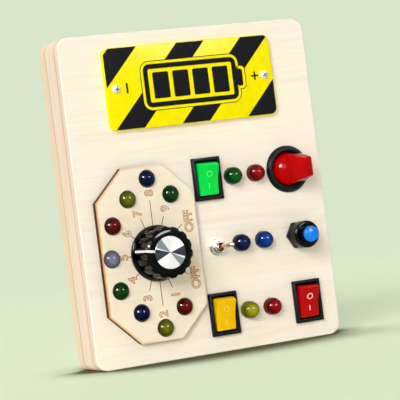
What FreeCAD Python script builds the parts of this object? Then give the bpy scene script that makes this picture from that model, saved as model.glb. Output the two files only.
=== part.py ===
import FreeCAD
import Part
import Sketcher
import math
import os
import re

# Wooden busy board: a flat plywood box with switches, a dial and lamps on its front.
# The row frame stands the board upright: +X right, +Y from front to back, +Z up.
# Its origin is the middle of the bottom face, half way through the board's depth.
# Each piece is drawn as seen from the front (x right, y up, z out of the front face)
# and is then turned 90 degrees about X to stand on the board.

doc = FreeCAD.newDocument("BusyBoard")

# Driving sizes in millimetres and degrees.
sizes = {
    # case: front sheet, glued frame and back sheet
    "front_thick": 5.0,
    "frame_thick": 12.0,
    "back_thick": 8.0,
    "back_hollow": 4.0,
    "frame_wall": 8.0,
    "corner_round": 6.0,
    "hollow_round": 3.0,
    "edge_round": 0.8,
    # margins and gaps between the things on the front, left to right
    "left_margin": 8.1,
    "dial_gap": 1.9,
    "rocker_lamp_gap": 2.05,
    "lamp_gap": 4.1,
    "lamp_paddle_gap": 2.6,
    "column_shift": 1.6,
    "right_margin": 9.6,
    # margins and steps, bottom to top
    "bottom_margin": 8.0,
    "row_pitch": 33.3,
    "label_gap": 17.4,
    "top_margin": 7.0,
    # striped label plate and its two screws
    "label_wide": 90.0,
    "label_tall": 40.0,
    "label_thick": 2.6,
    "label_round": 3.5,
    "label_screw_inset": 5.0,
    "label_screw_shank": 2.2,
    "label_screw_head": 4.4,
    "label_screw_crown": 3.2,
    "label_screw_head_high": 1.5,
    "label_screw_grip": 3.3,
    "label_screw_cross": 2.3,
    # eight-sided dial plate, measured from the knob's axis
    "dial_left": 28.3,
    "dial_right": 23.5,
    "dial_half_tall": 42.35,
    "dial_corner": 15.0,
    "dial_thick": 3.0,
    "dial_lift": 0.7,
    # places of the dial's lamps from the knob's axis
    "lamp_far_up": 36.2,
    "lamp_near_side": 11.35,
    "lamp_near_up": 27.45,
    "lamp_mid_side": 20.7,
    "lamp_mid_up": 15.6,
    "lamp_end_side": 23.2,
    # lamps
    "lamp_wide": 8.5,
    "lamp_proud": 6.6,
    "lamp_rim_wide": 9.5,
    "lamp_rim_thick": 1.2,
    "lamp_hole_play": 0.1,
    "lead_wide": 0.5,
    "lead_pitch": 2.54,
    "lead_long": 11.6,
    # rotary switch under the dial
    "rotary_wide": 26.0,
    "rotary_deep": 10.5,
    "bush_wide": 9.0,
    "bush_proud": 3.6,
    "bush_nut_flats": 12.0,
    "bush_nut_thick": 2.4,
    "spindle_wide": 6.0,
    "spindle_play": 0.05,
    "spindle_long": 9.5,
    "spindle_sunk": 7.0,
    "dial_turn": 141.0,
    "contact_ring": 21.0,
    "contact_pin_wide": 1.2,
    "contact_steps": 5.0,
    # fluted knob
    "knob_skirt_wide": 27.2,
    "knob_skirt_thick": 2.2,
    "knob_slope_high": 1.3,
    "knob_slope_step": 0.3,
    "knob_grip_wide": 24.8,
    "knob_top_wide": 21.0,
    "knob_bevel_high": 1.2,
    "knob_high": 16.0,
    "knob_gap": 0.7,
    "knob_hollow_wide": 17.0,
    "knob_hollow_high": 4.2,
    "flute_wide": 5.2,
    "flute_sunk": 1.1,
    "insert_wide": 9.5,
    "disc_wide": 15.6,
    "disc_thick": 0.9,
    "disc_proud": 0.3,
    "disc_play": 0.05,
    "disc_edge": 0.2,
    "pointer_angle": 170.5,
    "pointer_wide": 1.2,
    "pointer_deep": 0.5,
    "pointer_top_deep": 1.1,
    "pointer_end_gap": 0.6,
    "flat_deep": 0.5,
    "flat_gap": 0.4,
    "grub_wide": 3.0,
    "grub_height": 7.0,
    "grub_sunk": 1.3,
    "grub_slot_deep": 0.8,
    "grub_slot_wide": 0.5,
    "grub_angle": 115.7,
    # rocker switches
    "bezel_wide": 15.0,
    "bezel_tall": 21.0,
    "bezel_thick": 2.0,
    "bezel_round": 0.5,
    "rocker_body_wide": 13.0,
    "rocker_body_tall": 19.0,
    "rocker_body_deep": 11.5,
    "rocker_hole_play": 0.1,
    "rocker_wide": 10.1,
    "rocker_radius": 8.05,
    "rocker_play": 0.3,
    "rocker_pivot": 0.9,
    "rocker_waist": 2.0,
    "rocker_vee": 8.2,
    "rocker_below": 2.5,
    "rocker_tilt": 16.0,
    "rocker_floor": 5.0,
    "stub_wide": 1.4,
    "stub_long": 0.9,
    "stub_play": 0.05,
    "rocker_blade_pitch": 9.5,
    "blade_wide": 4.8,
    "blade_thick": 0.8,
    # toggle switch
    "toggle_body_wide": 12.7,
    "toggle_body_tall": 8.0,
    "toggle_body_deep": 9.2,
    "toggle_bush_wide": 6.0,
    "toggle_proud": 4.2,
    "toggle_nut_flats": 7.0,
    "toggle_nut_thick": 2.0,
    "toggle_washer_wide": 8.0,
    "toggle_washer_thick": 0.5,
    "toggle_well_wide": 5.0,
    "toggle_well_deep": 1.5,
    "toggle_lug_wide": 2.4,
    "toggle_lug_pitch": 4.6,
    "toggle_pivot": 1.6,
    "toggle_ball_wide": 4.1,
    "toggle_play": 0.05,
    "toggle_neck": 2.0,
    "toggle_tip": 2.4,
    "toggle_reach": 12.5,
    "toggle_tail": 3.6,
    "toggle_tail_wide": 1.4,
    "toggle_lean": 12.5,
    "toggle_turn": 18.0,
    "toggle_shift": 0.9,
    "toggle_drop": 0.6,
    # paddle switch
    "flange_wide": 23.5,
    "flange_top_wide": 21.9,
    "flange_thick": 2.2,
    "barrel_wide": 20.0,
    "barrel_deep": 13.0,
    "barrel_play": 0.1,
    "paddle_ball_wide": 16.6,
    "paddle_play": 0.3,
    "paddle_pivot": -1.0,
    "paddle_root": 4.0,
    "paddle_root_thick": 7.8,
    "paddle_root_wide": 11.6,
    "paddle_ridge": 7.0,
    "paddle_ridge_thick": 8.8,
    "paddle_ridge_wide": 14.4,
    "paddle_reach": 16.2,
    "paddle_tip_thick": 2.4,
    "paddle_tip_wide": 9.2,
    "paddle_lean": 20.0,
    "paddle_below": 5.0,
    "paddle_blade_pitch": 6.0,
    # push button
    "push_nut_flats": 12.7,
    "push_nut_thick": 3.6,
    "push_nut_turn": 30.0,
    "push_shank_wide": 11.8,
    "push_collar_wide": 13.5,
    "push_collar_high": 6.4,
    "push_lip": 1.0,
    "push_cap_wide": 7.8,
    "push_cap_proud": 5.4,
    "push_dome_high": 0.8,
    "push_play": 0.1,
    "push_travel": 3.0,
    "push_rim": 0.7,
    "push_rim_thick": 1.0,
    "push_deep": 9.0,
    "push_pin_wide": 2.4,
    "push_pin_pitch": 5.9,
    "push_stem_gap": 0.5,
    "spring_wide": 5.9,
    "spring_play": 0.2,
    "coil_end_gap": 0.02,
    "spring_wire": 0.5,
    "spring_turns": 5.0,
    "spring_sunk": 5.0,
    "push_stem_wide": 3.4,
    # contact blades of all switches end this far from the back sheet
    "blade_clear": 1.6,
    # battery box for two slim cells
    "cell_wide": 10.3,
    "cell_long": 43.5,
    "cell_nub_wide": 3.8,
    "cell_nub_high": 1.0,
    "cell_gap": 0.7,
    "cell_play": 0.3,
    "cell_plate_tall": 8.2,
    "cell_bump_tall": 3.3,
    "cell_spring_wide": 6.7,
    "cell_spring_wire": 0.5,
    "cell_spring_turns": 2.5,
    "box_wall": 1.3,
    "contact_room": 3.0,
    "contact_thick": 0.4,
    "box_boss": 5.0,
    "box_boss_deep": 8.5,
    "box_boss_hole": 7.0,
    "door_lip": 5.6,
    "door_thick": 2.0,
    "door_play": 0.3,
    "notch_wide": 12.0,
    "notch_sunk": 3.2,
    # countersunk wood screws
    "wood_screw_shank": 2.8,
    "wood_screw_head": 5.4,
    "wood_screw_head_high": 1.5,
    "wood_screw_grip": 7.0,
    "door_screw_grip": 5.5,
    "wood_screw_cross": 2.8,
    "wood_screw_inset": 5.5,
    "screw_tip": 1.6,
    "screw_tip_wide": 0.2,
    "screw_pilot": 0.5,
    "screw_play": 0.05,
    "cross_wide": 0.6,
    "cross_deep": 0.8,
    # hook-up wire, in planes this far behind the front face
    "wire_wide": 1.2,
    "wire_bend": 4.0,
    "wire_out": 2.6,
    "wire_jog": 2.5,
    "wire_gap": 0.05,
    "wire_plane_red": 17.2,
    "wire_plane_near": 9.5,
    "wire_plane_far": 11.5,
    "wire_plane_mid": 14.3,
    "wire_drop": 5.0,
}

# Places worked out from the driving sizes.
places = {
    "board_deep": "front_thick + frame_thick + back_thick",
    "board_wide": "left_margin + dial_left + dial_right + dial_gap + bezel_wide"
                  " + rocker_lamp_gap + 2 * lamp_wide + lamp_gap + lamp_paddle_gap"
                  " + flange_wide / 2 + column_shift + bezel_wide / 2 + right_margin",
    "row_low": "bottom_margin + bezel_tall / 2",
    "row_mid": "row_low + row_pitch",
    "row_high": "row_mid + row_pitch",
    "label_low": "row_high + bezel_tall / 2 + label_gap",
    "label_mid": "label_low + label_tall / 2",
    "board_tall": "label_low + label_tall + top_margin",
    "face_y": "-board_deep / 2",
    "dial_x": "-board_wide / 2 + left_margin + dial_left",
    "dial_z": "row_mid + dial_lift",
    "rocker_x": "dial_x + dial_right + dial_gap + bezel_wide / 2",
    "toggle_x": "rocker_x + toggle_shift",
    "toggle_z": "row_mid - toggle_drop",
    "lamp_left_x": "rocker_x + bezel_wide / 2 + rocker_lamp_gap + lamp_wide / 2",
    "lamp_right_x": "lamp_left_x + lamp_wide + lamp_gap",
    "paddle_x": "lamp_right_x + lamp_wide / 2 + lamp_paddle_gap + flange_wide / 2",
    "column_x": "paddle_x + column_shift",
    "hollow_wide": "board_wide - 2 * frame_wall",
    "hollow_tall": "board_tall - 2 * frame_wall",
    "skin_z": "-(front_thick + frame_thick + back_hollow)",
    "blade_end": "skin_z + blade_clear",
    "rocker_open_wide": "rocker_wide + 2 * rocker_play",
    "rocker_open_tall": "2 * (rocker_radius + rocker_play)",
    "knob_foot": "dial_thick + knob_gap",
    "knob_top": "knob_foot + knob_high",
    "bush_top": "dial_thick + bush_proud",
    "spindle_top": "bush_top + spindle_long",
    "spindle_foot": "-front_thick - spindle_sunk",
    "push_collar_low": "push_nut_thick",
    "push_collar_top": "push_nut_thick + push_collar_high",
    "push_rim_top": "push_collar_top - push_lip - push_play",
    "push_rim_low": "push_rim_top - push_rim_thick",
    "spring_foot": "push_collar_low - spring_sunk",
    "box_inner_tall": "2 * cell_wide + cell_gap + 2 * cell_play",
    "box_inner_wide": "cell_long + cell_nub_high + 2 * contact_room",
    "box_wide": "box_inner_wide + 2 * box_wall",
    "box_tall": "box_inner_tall + 2 * box_wall",
    "box_deep": "cell_wide + 2 * cell_play + box_wall",
    "cell_mid": "skin_z + cell_play + cell_wide / 2",
    "door_wide": "box_wide + 2 * door_lip",
    "door_tall": "box_tall + 2 * door_lip",
    "door_screw_x": "box_wide / 2 + box_boss / 2",
}


# One sheet holds the driving numbers and the other what follows from them.
def fill_sheet(name, table, formula_sign):
    sheet = doc.addObject("Spreadsheet::Sheet", name)
    for line, (alias, content) in enumerate(table.items(), start=1):
        sheet.set("A%d" % line, alias)
        sheet.set("B%d" % line, formula_sign + content)
        sheet.setAlias("B%d" % line, alias)
    return sheet


# Puts the sheet's name before each size in a formula.
def formula(text):
    def full_name(match):
        word = match.group(0)
        if word in sizes:
            return "Size." + word
        if word in places:
            return "Place." + word
        return word
    return re.sub(r"[A-Za-z_]\w*", full_name, str(text))


size_sheet = fill_sheet("Size", {key: str(number) for key, number in sizes.items()}, "")
place_sheet = fill_sheet("Place", {key: formula(text) for key, text in places.items()}, "=")
doc.recompute()

nodes = []


# The number that a size or a place stands for now.
def number(alias):
    sheet = size_sheet if alias in sizes else place_sheet
    return float(sheet.get(alias))


def bind(thing, prop, text):
    thing.setExpression(prop, formula(text))


def move(thing, x=0, y=0, z=0):
    bind(thing, "Placement.Base.x", x)
    bind(thing, "Placement.Base.y", y)
    bind(thing, "Placement.Base.z", z)
    return thing


# Box with its middle at x, y and its low face at z.
def box(name, wide, tall, deep, x=0, y=0, z=0):
    thing = doc.addObject("Part::Box", name)
    bind(thing, "Length", wide)
    bind(thing, "Width", tall)
    bind(thing, "Height", deep)
    return move(thing, "(%s) - (%s) / 2" % (x, wide), "(%s) - (%s) / 2" % (y, tall), z)


def cylinder(name, wide, deep, x=0, y=0, z=0):
    thing = doc.addObject("Part::Cylinder", name)
    bind(thing, "Radius", "(%s) / 2" % wide)
    bind(thing, "Height", deep)
    return move(thing, x, y, z)


def cone(name, wide_low, wide_high, deep, x=0, y=0, z=0):
    thing = doc.addObject("Part::Cone", name)
    bind(thing, "Radius1", "(%s) / 2" % wide_low)
    bind(thing, "Radius2", "(%s) / 2" % wide_high)
    bind(thing, "Height", deep)
    return move(thing, x, y, z)


def sphere(name, wide, x=0, y=0, z=0):
    thing = doc.addObject("Part::Sphere", name)
    bind(thing, "Radius", "(%s) / 2" % wide)
    return move(thing, x, y, z)


# Six-sided bar with the given width across its flats.
def hexagon(name, flats, deep, z=0):
    thing = doc.addObject("Part::Prism", name)
    thing.Polygon = 6
    bind(thing, "Circumradius", "(%s) / sqrt(3)" % flats)
    bind(thing, "Height", deep)
    return move(thing, 0, 0, z)


def fuse(name, pieces):
    thing = doc.addObject("Part::MultiFuse", name)
    thing.Shapes = pieces
    thing.Refine = True
    return thing


def group(name, pieces):
    thing = doc.addObject("Part::Compound", name)
    thing.Links = pieces
    return thing


def cut(name, base, tools):
    thing = doc.addObject("Part::Cut", name)
    thing.Base = base
    thing.Tool = tools[0] if len(tools) == 1 else fuse(name + "_tool", tools)
    thing.Refine = True
    return thing


# Names a finished piece and stands it on the board.
def seat(thing, label, x=0, y="face_y", z=0, yaw=0, roll=90):
    thing.Label = label
    bind(thing, "Placement.Rotation.Yaw", yaw)
    bind(thing, "Placement.Rotation.Pitch", 0)
    bind(thing, "Placement.Rotation.Roll", roll)
    move(thing, x, y, z)
    nodes.append(thing)
    return thing


def new_body(name):
    return doc.addObject("PartDesign::Body", name)


def new_sketch(body, name, role="XY_Plane", height=0):
    sketch = body.newObject("Sketcher::SketchObject", name)
    for plane in body.Origin.OriginFeatures:
        if plane.Role == role:
            sketch.AttachmentSupport = [(plane, "")]
    sketch.MapMode = "FlatFace"
    bind(sketch, "AttachmentOffset.Base.z", height)
    return sketch


# Adds a dimension to a sketch and ties it to a formula.
def dimension(sketch, kind, *picks, text):
    index = sketch.addConstraint(Sketcher.Constraint(kind, *picks, 1.0))
    sketch.setExpression("Constraints[%d]" % index, formula(text))


# Closed outline through points given as pairs of formulas.
def draw_outline(sketch, points):
    count = len(points)
    rough_radius = 10
    rough = []
    for step in range(count):
        angle = 2 * math.pi * step / count
        rough.append(FreeCAD.Vector(rough_radius * math.cos(angle),
                                    rough_radius * math.sin(angle), 0))
    first = sketch.GeometryCount
    for step in range(count):
        sketch.addGeometry(Part.LineSegment(rough[step], rough[(step + 1) % count]), False)
    for step in range(count):
        following = first + (step + 1) % count
        sketch.addConstraint(Sketcher.Constraint("Coincident", first + step, 2, following, 1))
    for step, (x, y) in enumerate(points):
        dimension(sketch, "DistanceX", -1, 1, first + step, 1, text=x)
        dimension(sketch, "DistanceY", -1, 1, first + step, 1, text=y)


def draw_rectangle(sketch, wide, tall, x=0, y=0):
    left = "(%s) - (%s) / 2" % (x, wide)
    right = "(%s) + (%s) / 2" % (x, wide)
    low = "(%s) - (%s) / 2" % (y, tall)
    high = "(%s) + (%s) / 2" % (y, tall)
    draw_outline(sketch, [(left, low), (right, low), (right, high), (left, high)])


def draw_circle(sketch, wide, x=0, y=0):
    start = FreeCAD.Vector(1, 1, 0)
    circle = sketch.addGeometry(Part.Circle(start, FreeCAD.Vector(0, 0, 1), 1), False)
    dimension(sketch, "Diameter", circle, text=wide)
    dimension(sketch, "DistanceX", -1, 1, circle, 3, text=x)
    dimension(sketch, "DistanceY", -1, 1, circle, 3, text=y)


def pad(body, sketch, name, deep, downwards=False, both_ways=False):
    feature = body.newObject("PartDesign::Pad", name)
    feature.Profile = sketch
    bind(feature, "Length", deep)
    feature.Reversed = downwards
    feature.Midplane = both_ways
    return feature


def pocket(body, sketch, name, deep, upwards=False, both_ways=False):
    feature = body.newObject("PartDesign::Pocket", name)
    feature.Profile = sketch
    bind(feature, "Length", deep)
    feature.Reversed = upwards
    feature.Midplane = both_ways
    return feature


# Rounds the edges of a body's last feature that the test picks.
def round_edges(body, name, radius, picked):
    doc.recompute()
    base = body.Tip
    names = []
    for index, edge in enumerate(base.Shape.Edges, start=1):
        if picked(edge):
            names.append("Edge%d" % index)
    feature = body.newObject("PartDesign::Fillet", name)
    feature.Base = (base, names)
    bind(feature, "Radius", radius)
    return feature


def is_upright(edge):
    bounds = edge.BoundBox
    return bounds.XLength < 1e-6 and bounds.YLength < 1e-6


def is_level_at(height):
    def test(edge):
        bounds = edge.BoundBox
        return bounds.ZLength < 1e-6 and abs(bounds.ZMin - height) < 1e-6
    return test


def is_hollow_corner(edge):
    away = abs(abs(edge.BoundBox.XMin) - number("hollow_wide") / 2)
    return is_upright(edge) and away < 1e-6


# Cross slot whose lower face lies the slot's depth under the given height.
def cross_slot(name, long_way, x, y, height):
    slots = []
    for turn, (wide, tall) in enumerate(((long_way, "cross_wide"), ("cross_wide", long_way))):
        slots.append(box("%s_%d" % (name, turn), wide, tall, "2 * cross_deep",
                         x, y, "(%s) - cross_deep" % height))
    return slots


# Countersunk screw that points down, its flat head level with z = 0.
def flat_screw(name, grip, x, y):
    head = cone(name + "_head", "wood_screw_shank", "wood_screw_head", "wood_screw_head_high",
                x, y, "-wood_screw_head_high")
    foot = "-wood_screw_head_high - " + grip
    shank = cylinder(name + "_shank", "wood_screw_shank", grip, x, y, foot)
    tip = cone(name + "_tip", "screw_tip_wide", "wood_screw_shank", "screw_tip",
               x, y, foot + " - screw_tip")
    whole = fuse(name + "_whole", [head, shank, tip])
    return cut(name, whole, cross_slot(name + "_slot", "wood_screw_cross", x, y, 0))


# Round-headed screw that points down, its head standing on z = 0.
def round_screw(name, grip, x, y):
    head = cone(name + "_head", "label_screw_head", "label_screw_crown",
                "label_screw_head_high", x, y)
    foot = "-(%s)" % grip
    shank = cylinder(name + "_shank", "label_screw_shank", grip, x, y, foot)
    tip = cone(name + "_tip", "screw_tip_wide", "label_screw_shank", "screw_tip",
               x, y, foot + " - screw_tip")
    whole = fuse(name + "_whole", [head, shank, tip])
    slots = cross_slot(name + "_slot", "label_screw_cross", x, y, "label_screw_head_high")
    return cut(name, whole, slots)


# The four wood screws stand in the corners of the back sheet.
corner_x = "board_wide / 2 - wood_screw_inset"
corner_low = "wood_screw_inset"
corner_high = "board_tall - wood_screw_inset"
corners = []
for side in ("-", ""):
    for level in (corner_low, corner_high):
        corners.append(("%s(%s)" % (side, corner_x), level))

# Lamps on the dial, by the number beside them, as places from the knob's axis.
dial_lamps = {
    1: ("lamp_near_side", "-lamp_near_up"),
    2: ("0", "-lamp_far_up"),
    3: ("-lamp_near_side", "-lamp_near_up"),
    4: ("-lamp_mid_side", "-lamp_mid_up"),
    5: ("-lamp_end_side", "0"),
    6: ("-lamp_mid_side", "lamp_mid_up"),
    7: ("-lamp_near_side", "lamp_near_up"),
    8: ("0", "lamp_far_up"),
    9: ("lamp_near_side", "lamp_near_up"),
}

lamps = {}
for figure, (side, up) in dial_lamps.items():
    lamps["lamp_dial_%d" % figure] = ("dial_x + (%s)" % side, "dial_z + (%s)" % up)
lamps["lamp_green"] = ("lamp_left_x", "row_high")
lamps["lamp_red_high"] = ("lamp_right_x", "row_high")
lamps["lamp_blue_left"] = ("lamp_left_x", "row_mid")
lamps["lamp_blue_right"] = ("lamp_right_x", "row_mid")
lamps["lamp_yellow"] = ("lamp_left_x", "row_low")
lamps["lamp_red_low"] = ("lamp_right_x", "row_low")

rockers = {
    "green": ("rocker_x", "row_high"),
    "yellow": ("rocker_x", "row_low"),
    "red": ("column_x", "row_low"),
}

label_screws = [("-label_wide / 2 + label_screw_inset", "label_mid"),
                ("label_wide / 2 - label_screw_inset", "label_mid")]
door_screws = [("-door_screw_x", "label_mid"), ("door_screw_x", "label_mid")]


# Plain sheet of the board's outline, hanging down from z = 0.
def board_sheet(name, thick):
    body = new_body(name)
    outline = new_sketch(body, name + "_outline")
    draw_rectangle(outline, "board_wide", "board_tall", 0, "board_tall / 2")
    pad(body, outline, name + "_sheet", thick, downwards=True)
    round_edges(body, name + "_corners", "corner_round", is_upright)
    return body


# Front sheet with a hole for everything that shows on it.
def make_front_panel():
    body = board_sheet("FrontPanel", "front_thick")
    round_edges(body, "FrontPanel_edge", "edge_round", is_level_at(0))
    holes = new_sketch(body, "FrontPanel_holes")
    for x, z in lamps.values():
        draw_circle(holes, "lamp_wide + 2 * lamp_hole_play", x, z)
    for x, z in rockers.values():
        draw_rectangle(holes, "rocker_body_wide + 2 * rocker_hole_play",
                       "rocker_body_tall + 2 * rocker_hole_play", x, z)
    for x, z in label_screws:
        draw_circle(holes, "label_screw_shank + 2 * screw_play", x, z)
    draw_circle(holes, "bush_wide + 2 * spindle_play", "dial_x", "dial_z")
    draw_circle(holes, "toggle_bush_wide + 2 * toggle_play", "toggle_x", "toggle_z")
    draw_circle(holes, "barrel_wide + 2 * barrel_play", "paddle_x", "row_high")
    draw_circle(holes, "push_shank_wide + 2 * push_play", "column_x", "row_mid")
    pocket(body, holes, "FrontPanel_cut", "front_thick")
    seat(body, "front_panel")


def make_middle_frame():
    body = board_sheet("MiddleFrame", "frame_thick")
    inside = new_sketch(body, "MiddleFrame_inside")
    draw_rectangle(inside, "hollow_wide", "hollow_tall", 0, "board_tall / 2")
    pocket(body, inside, "MiddleFrame_hollow", "frame_thick")
    round_edges(body, "MiddleFrame_inside_corners", "hollow_round", is_hollow_corner)
    holes = new_sketch(body, "MiddleFrame_holes", height="-frame_thick")
    for x, z in corners:
        draw_circle(holes, "wood_screw_shank + 2 * screw_play", x, z)
    pilot = "wood_screw_head_high + wood_screw_grip + screw_tip + screw_pilot - back_thick"
    pocket(body, holes, "MiddleFrame_pilots", pilot, upwards=True)
    seat(body, "middle_frame", y="face_y + front_thick")


# Back sheet, hollowed inside, with the battery opening and the recess of its door.
def make_back_panel():
    body = board_sheet("BackPanel", "back_thick")
    round_edges(body, "BackPanel_edge", "edge_round", is_level_at(-number("back_thick")))
    inside = new_sketch(body, "BackPanel_inside")
    draw_rectangle(inside, "hollow_wide", "hollow_tall", 0, "board_tall / 2")
    pocket(body, inside, "BackPanel_hollow", "back_hollow")
    round_edges(body, "BackPanel_inside_corners", "hollow_round", is_hollow_corner)
    recess = new_sketch(body, "BackPanel_recess_outline", height="-back_thick")
    draw_rectangle(recess, "door_wide + 2 * door_play", "door_tall + 2 * door_play",
                   0, "label_mid")
    pocket(body, recess, "BackPanel_recess", "door_thick", upwards=True)
    opening = new_sketch(body, "BackPanel_opening_outline")
    draw_rectangle(opening, "box_inner_wide", "box_inner_tall", 0, "label_mid")
    for x, z in door_screws:
        draw_circle(opening, "wood_screw_shank + 2 * screw_play", x, z)
    pocket(body, opening, "BackPanel_opening", "back_thick")
    shanks = new_sketch(body, "BackPanel_holes")
    for x, z in corners:
        draw_circle(shanks, "wood_screw_shank + 2 * screw_play", x, z)
    pocket(body, shanks, "BackPanel_shanks", "back_thick")
    sinks = []
    for index, (x, z) in enumerate(corners):
        sinks.append(countersink("BackPanel_sink_%d" % index, x, z, "-back_thick"))
    sunk = cut("BackPanel_sunk", body, sinks)
    seat(sunk, "back_panel", y="face_y + front_thick + frame_thick")


# Cone that cuts the seat of a flat screw head, whose wide end lies at the given height.
def countersink(name, x, y, height):
    wide = "wood_screw_head + 2 * screw_play"
    narrow = "wood_screw_shank + 2 * screw_play"
    return cone(name, wide, narrow, "wood_screw_head_high", x, y, height)


def make_battery_door():
    body = new_body("BatteryDoor")
    outline = new_sketch(body, "BatteryDoor_outline")
    draw_rectangle(outline, "door_wide", "door_tall")
    pad(body, outline, "BatteryDoor_sheet", "door_thick")
    round_edges(body, "BatteryDoor_corners", "door_play", is_upright)
    notch = cylinder("BatteryDoor_notch", "notch_wide", "3 * door_thick",
                     0, "-door_tall / 2 - notch_wide / 2 + notch_sunk", "-door_thick")
    tools = [notch]
    for index, (x, z) in enumerate((("-door_screw_x", "0"), ("door_screw_x", "0"))):
        tools.append(countersink("BatteryDoor_sink_%d" % index, x, z, 0))
        tools.append(cylinder("BatteryDoor_hole_%d" % index,
                              "wood_screw_shank + 2 * screw_play", "door_thick", x, z, 0))
    door = cut("BatteryDoor_cut", body, tools)
    seat(door, "battery_door", y="face_y + board_deep", z="label_mid")


# Wood screws point forwards, so they are turned to face the back.
def make_back_screws():
    pieces = []
    for index, (x, z) in enumerate(corners):
        pieces.append(flat_screw("WoodScrew_%d" % index, "wood_screw_grip", x, "-(%s)" % z))
    seat(group("WoodScrews", pieces), "back_screws", y="face_y + board_deep", roll=-90)


def make_door_screws():
    pieces = []
    for index, (x, z) in enumerate(door_screws):
        pieces.append(flat_screw("DoorScrew_%d" % index, "door_screw_grip", x, "-(%s)" % z))
    seat(group("DoorScrews", pieces), "door_screws", y="face_y + board_deep", roll=-90)


def make_label():
    body = new_body("LabelPlate")
    outline = new_sketch(body, "LabelPlate_outline")
    draw_rectangle(outline, "label_wide", "label_tall")
    pad(body, outline, "LabelPlate_sheet", "label_thick")
    round_edges(body, "LabelPlate_corners", "label_round", is_upright)
    holes = new_sketch(body, "LabelPlate_holes")
    for x, z in label_screws:
        draw_circle(holes, "label_screw_shank + 2 * screw_play", x, 0)
    pocket(body, holes, "LabelPlate_cut", "label_thick", upwards=True)
    seat(body, "label_plate", z="label_mid")
    pieces = []
    for index, (x, z) in enumerate(label_screws):
        pieces.append(round_screw("LabelScrew_%d" % index, "label_thick + label_screw_grip",
                                  x, z))
    seat(group("LabelScrews", pieces), "label_screws", y="face_y - label_thick")


def make_dial_plate():
    body = new_body("DialPlate")
    outline = new_sketch(body, "DialPlate_outline")
    left = "-dial_left"
    right = "dial_right"
    top = "dial_half_tall"
    low = "-dial_half_tall"
    draw_outline(outline, [
        (left, low + " + dial_corner"),
        (left + " + dial_corner", low),
        (right + " - dial_corner", low),
        (right, low + " + dial_corner"),
        (right, top + " - dial_corner"),
        (right + " - dial_corner", top),
        (left + " + dial_corner", top),
        (left, top + " - dial_corner"),
    ])
    pad(body, outline, "DialPlate_sheet", "dial_thick")
    holes = new_sketch(body, "DialPlate_holes")
    for side, up in dial_lamps.values():
        draw_circle(holes, "lamp_wide + 2 * lamp_hole_play", side, up)
    draw_circle(holes, "bush_wide + 2 * spindle_play")
    pocket(body, holes, "DialPlate_cut", "dial_thick", upwards=True)
    seat(body, "dial_plate", "dial_x", z="dial_z")


# Domed lamp pushed through the sheet from behind, its rim against the back of the sheet.
def make_lamps():
    leads = []
    for label, (x, z) in lamps.items():
        barrel = cylinder(label + "_barrel", "lamp_wide",
                          "front_thick + lamp_proud - lamp_wide / 2", 0, 0, "-front_thick")
        dome = sphere(label + "_dome", "lamp_wide", 0, 0, "lamp_proud - lamp_wide / 2")
        rim = cylinder(label + "_rim", "lamp_rim_wide", "lamp_rim_thick",
                       0, 0, "-front_thick - lamp_rim_thick")
        seat(fuse(label + "_lens", [barrel, dome, rim]), label, x, z=z)
        for side in ("-", ""):
            leads.append(box("%s_lead%d" % (label, len(leads)), "lead_wide", "lead_wide",
                             "lead_long", "%s + %s(lead_pitch / 2)" % (x, side), z,
                             "-front_thick - lamp_rim_thick - lead_long"))
    seat(group("LampLeads", leads), "lamp_leads")


# Rotary switch: moulded body, threaded bush with its nut, and a ring of contacts.
def make_rotary_switch():
    shell = cylinder("Rotary_shell", "rotary_wide", "rotary_deep",
                     0, 0, "-front_thick - rotary_deep")
    well = cylinder("Rotary_well", "spindle_wide + 2 * spindle_play",
                    "spindle_sunk + 2 * spindle_play", 0, 0, "spindle_foot - spindle_play")
    seat(cut("RotaryBody", shell, [well]), "rotary_body", "dial_x", z="dial_z")
    thread = cylinder("Bush_thread", "bush_wide", "front_thick + bush_top",
                      0, 0, "-front_thick")
    bore = cylinder("Bush_bore", "spindle_wide + 2 * spindle_play",
                    "2 * (front_thick + bush_top)", 0, 0, "-front_thick - bush_top / 2")
    seat(cut("RotaryBush", thread, [bore]), "rotary_bush", "dial_x", z="dial_z")
    nut = hexagon("BushNut_hexagon", "bush_nut_flats", "bush_nut_thick", "dial_thick")
    hole = cylinder("BushNut_hole", "bush_wide + 2 * spindle_play", "3 * bush_nut_thick",
                    0, 0, "dial_thick - bush_nut_thick")
    seat(cut("BushNut", nut, [hole]), "rotary_nut", "dial_x", z="dial_z")
    pin_long = "-front_thick - rotary_deep - blade_end"
    contacts = [cylinder("RotaryContact_common", "contact_pin_wide", pin_long,
                         0, 0, "blade_end")]
    each_way = int(number("contact_steps"))
    for step in range(-each_way, each_way + 1):
        angle = "(180 + %d * dial_turn / %d)" % (step, each_way)
        contacts.append(cylinder("RotaryContact_%d" % (step + each_way), "contact_pin_wide",
                                 pin_long, "contact_ring / 2 * cos(%s)" % angle,
                                 "contact_ring / 2 * sin(%s)" % angle, "blade_end"))
    seat(group("RotaryContacts", contacts), "rotary_contacts", "dial_x", z="dial_z")


# Spindle with a flat on one side for the set screw.
def make_spindle():
    bar = cylinder("Spindle_bar", "spindle_wide", "spindle_top - spindle_foot",
                   0, 0, "spindle_foot")
    flat = box("Spindle_flat", "spindle_wide", "2 * flat_deep", "spindle_long",
               0, "spindle_wide / 2", "bush_top + flat_gap")
    flat_turn = cut("Spindle_cut", bar, [flat])
    bind(flat_turn, "Placement.Rotation.Yaw", "grub_angle - 90")
    seat(group("Spindle", [flat_turn]), "rotary_spindle", "dial_x", z="dial_z")


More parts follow.
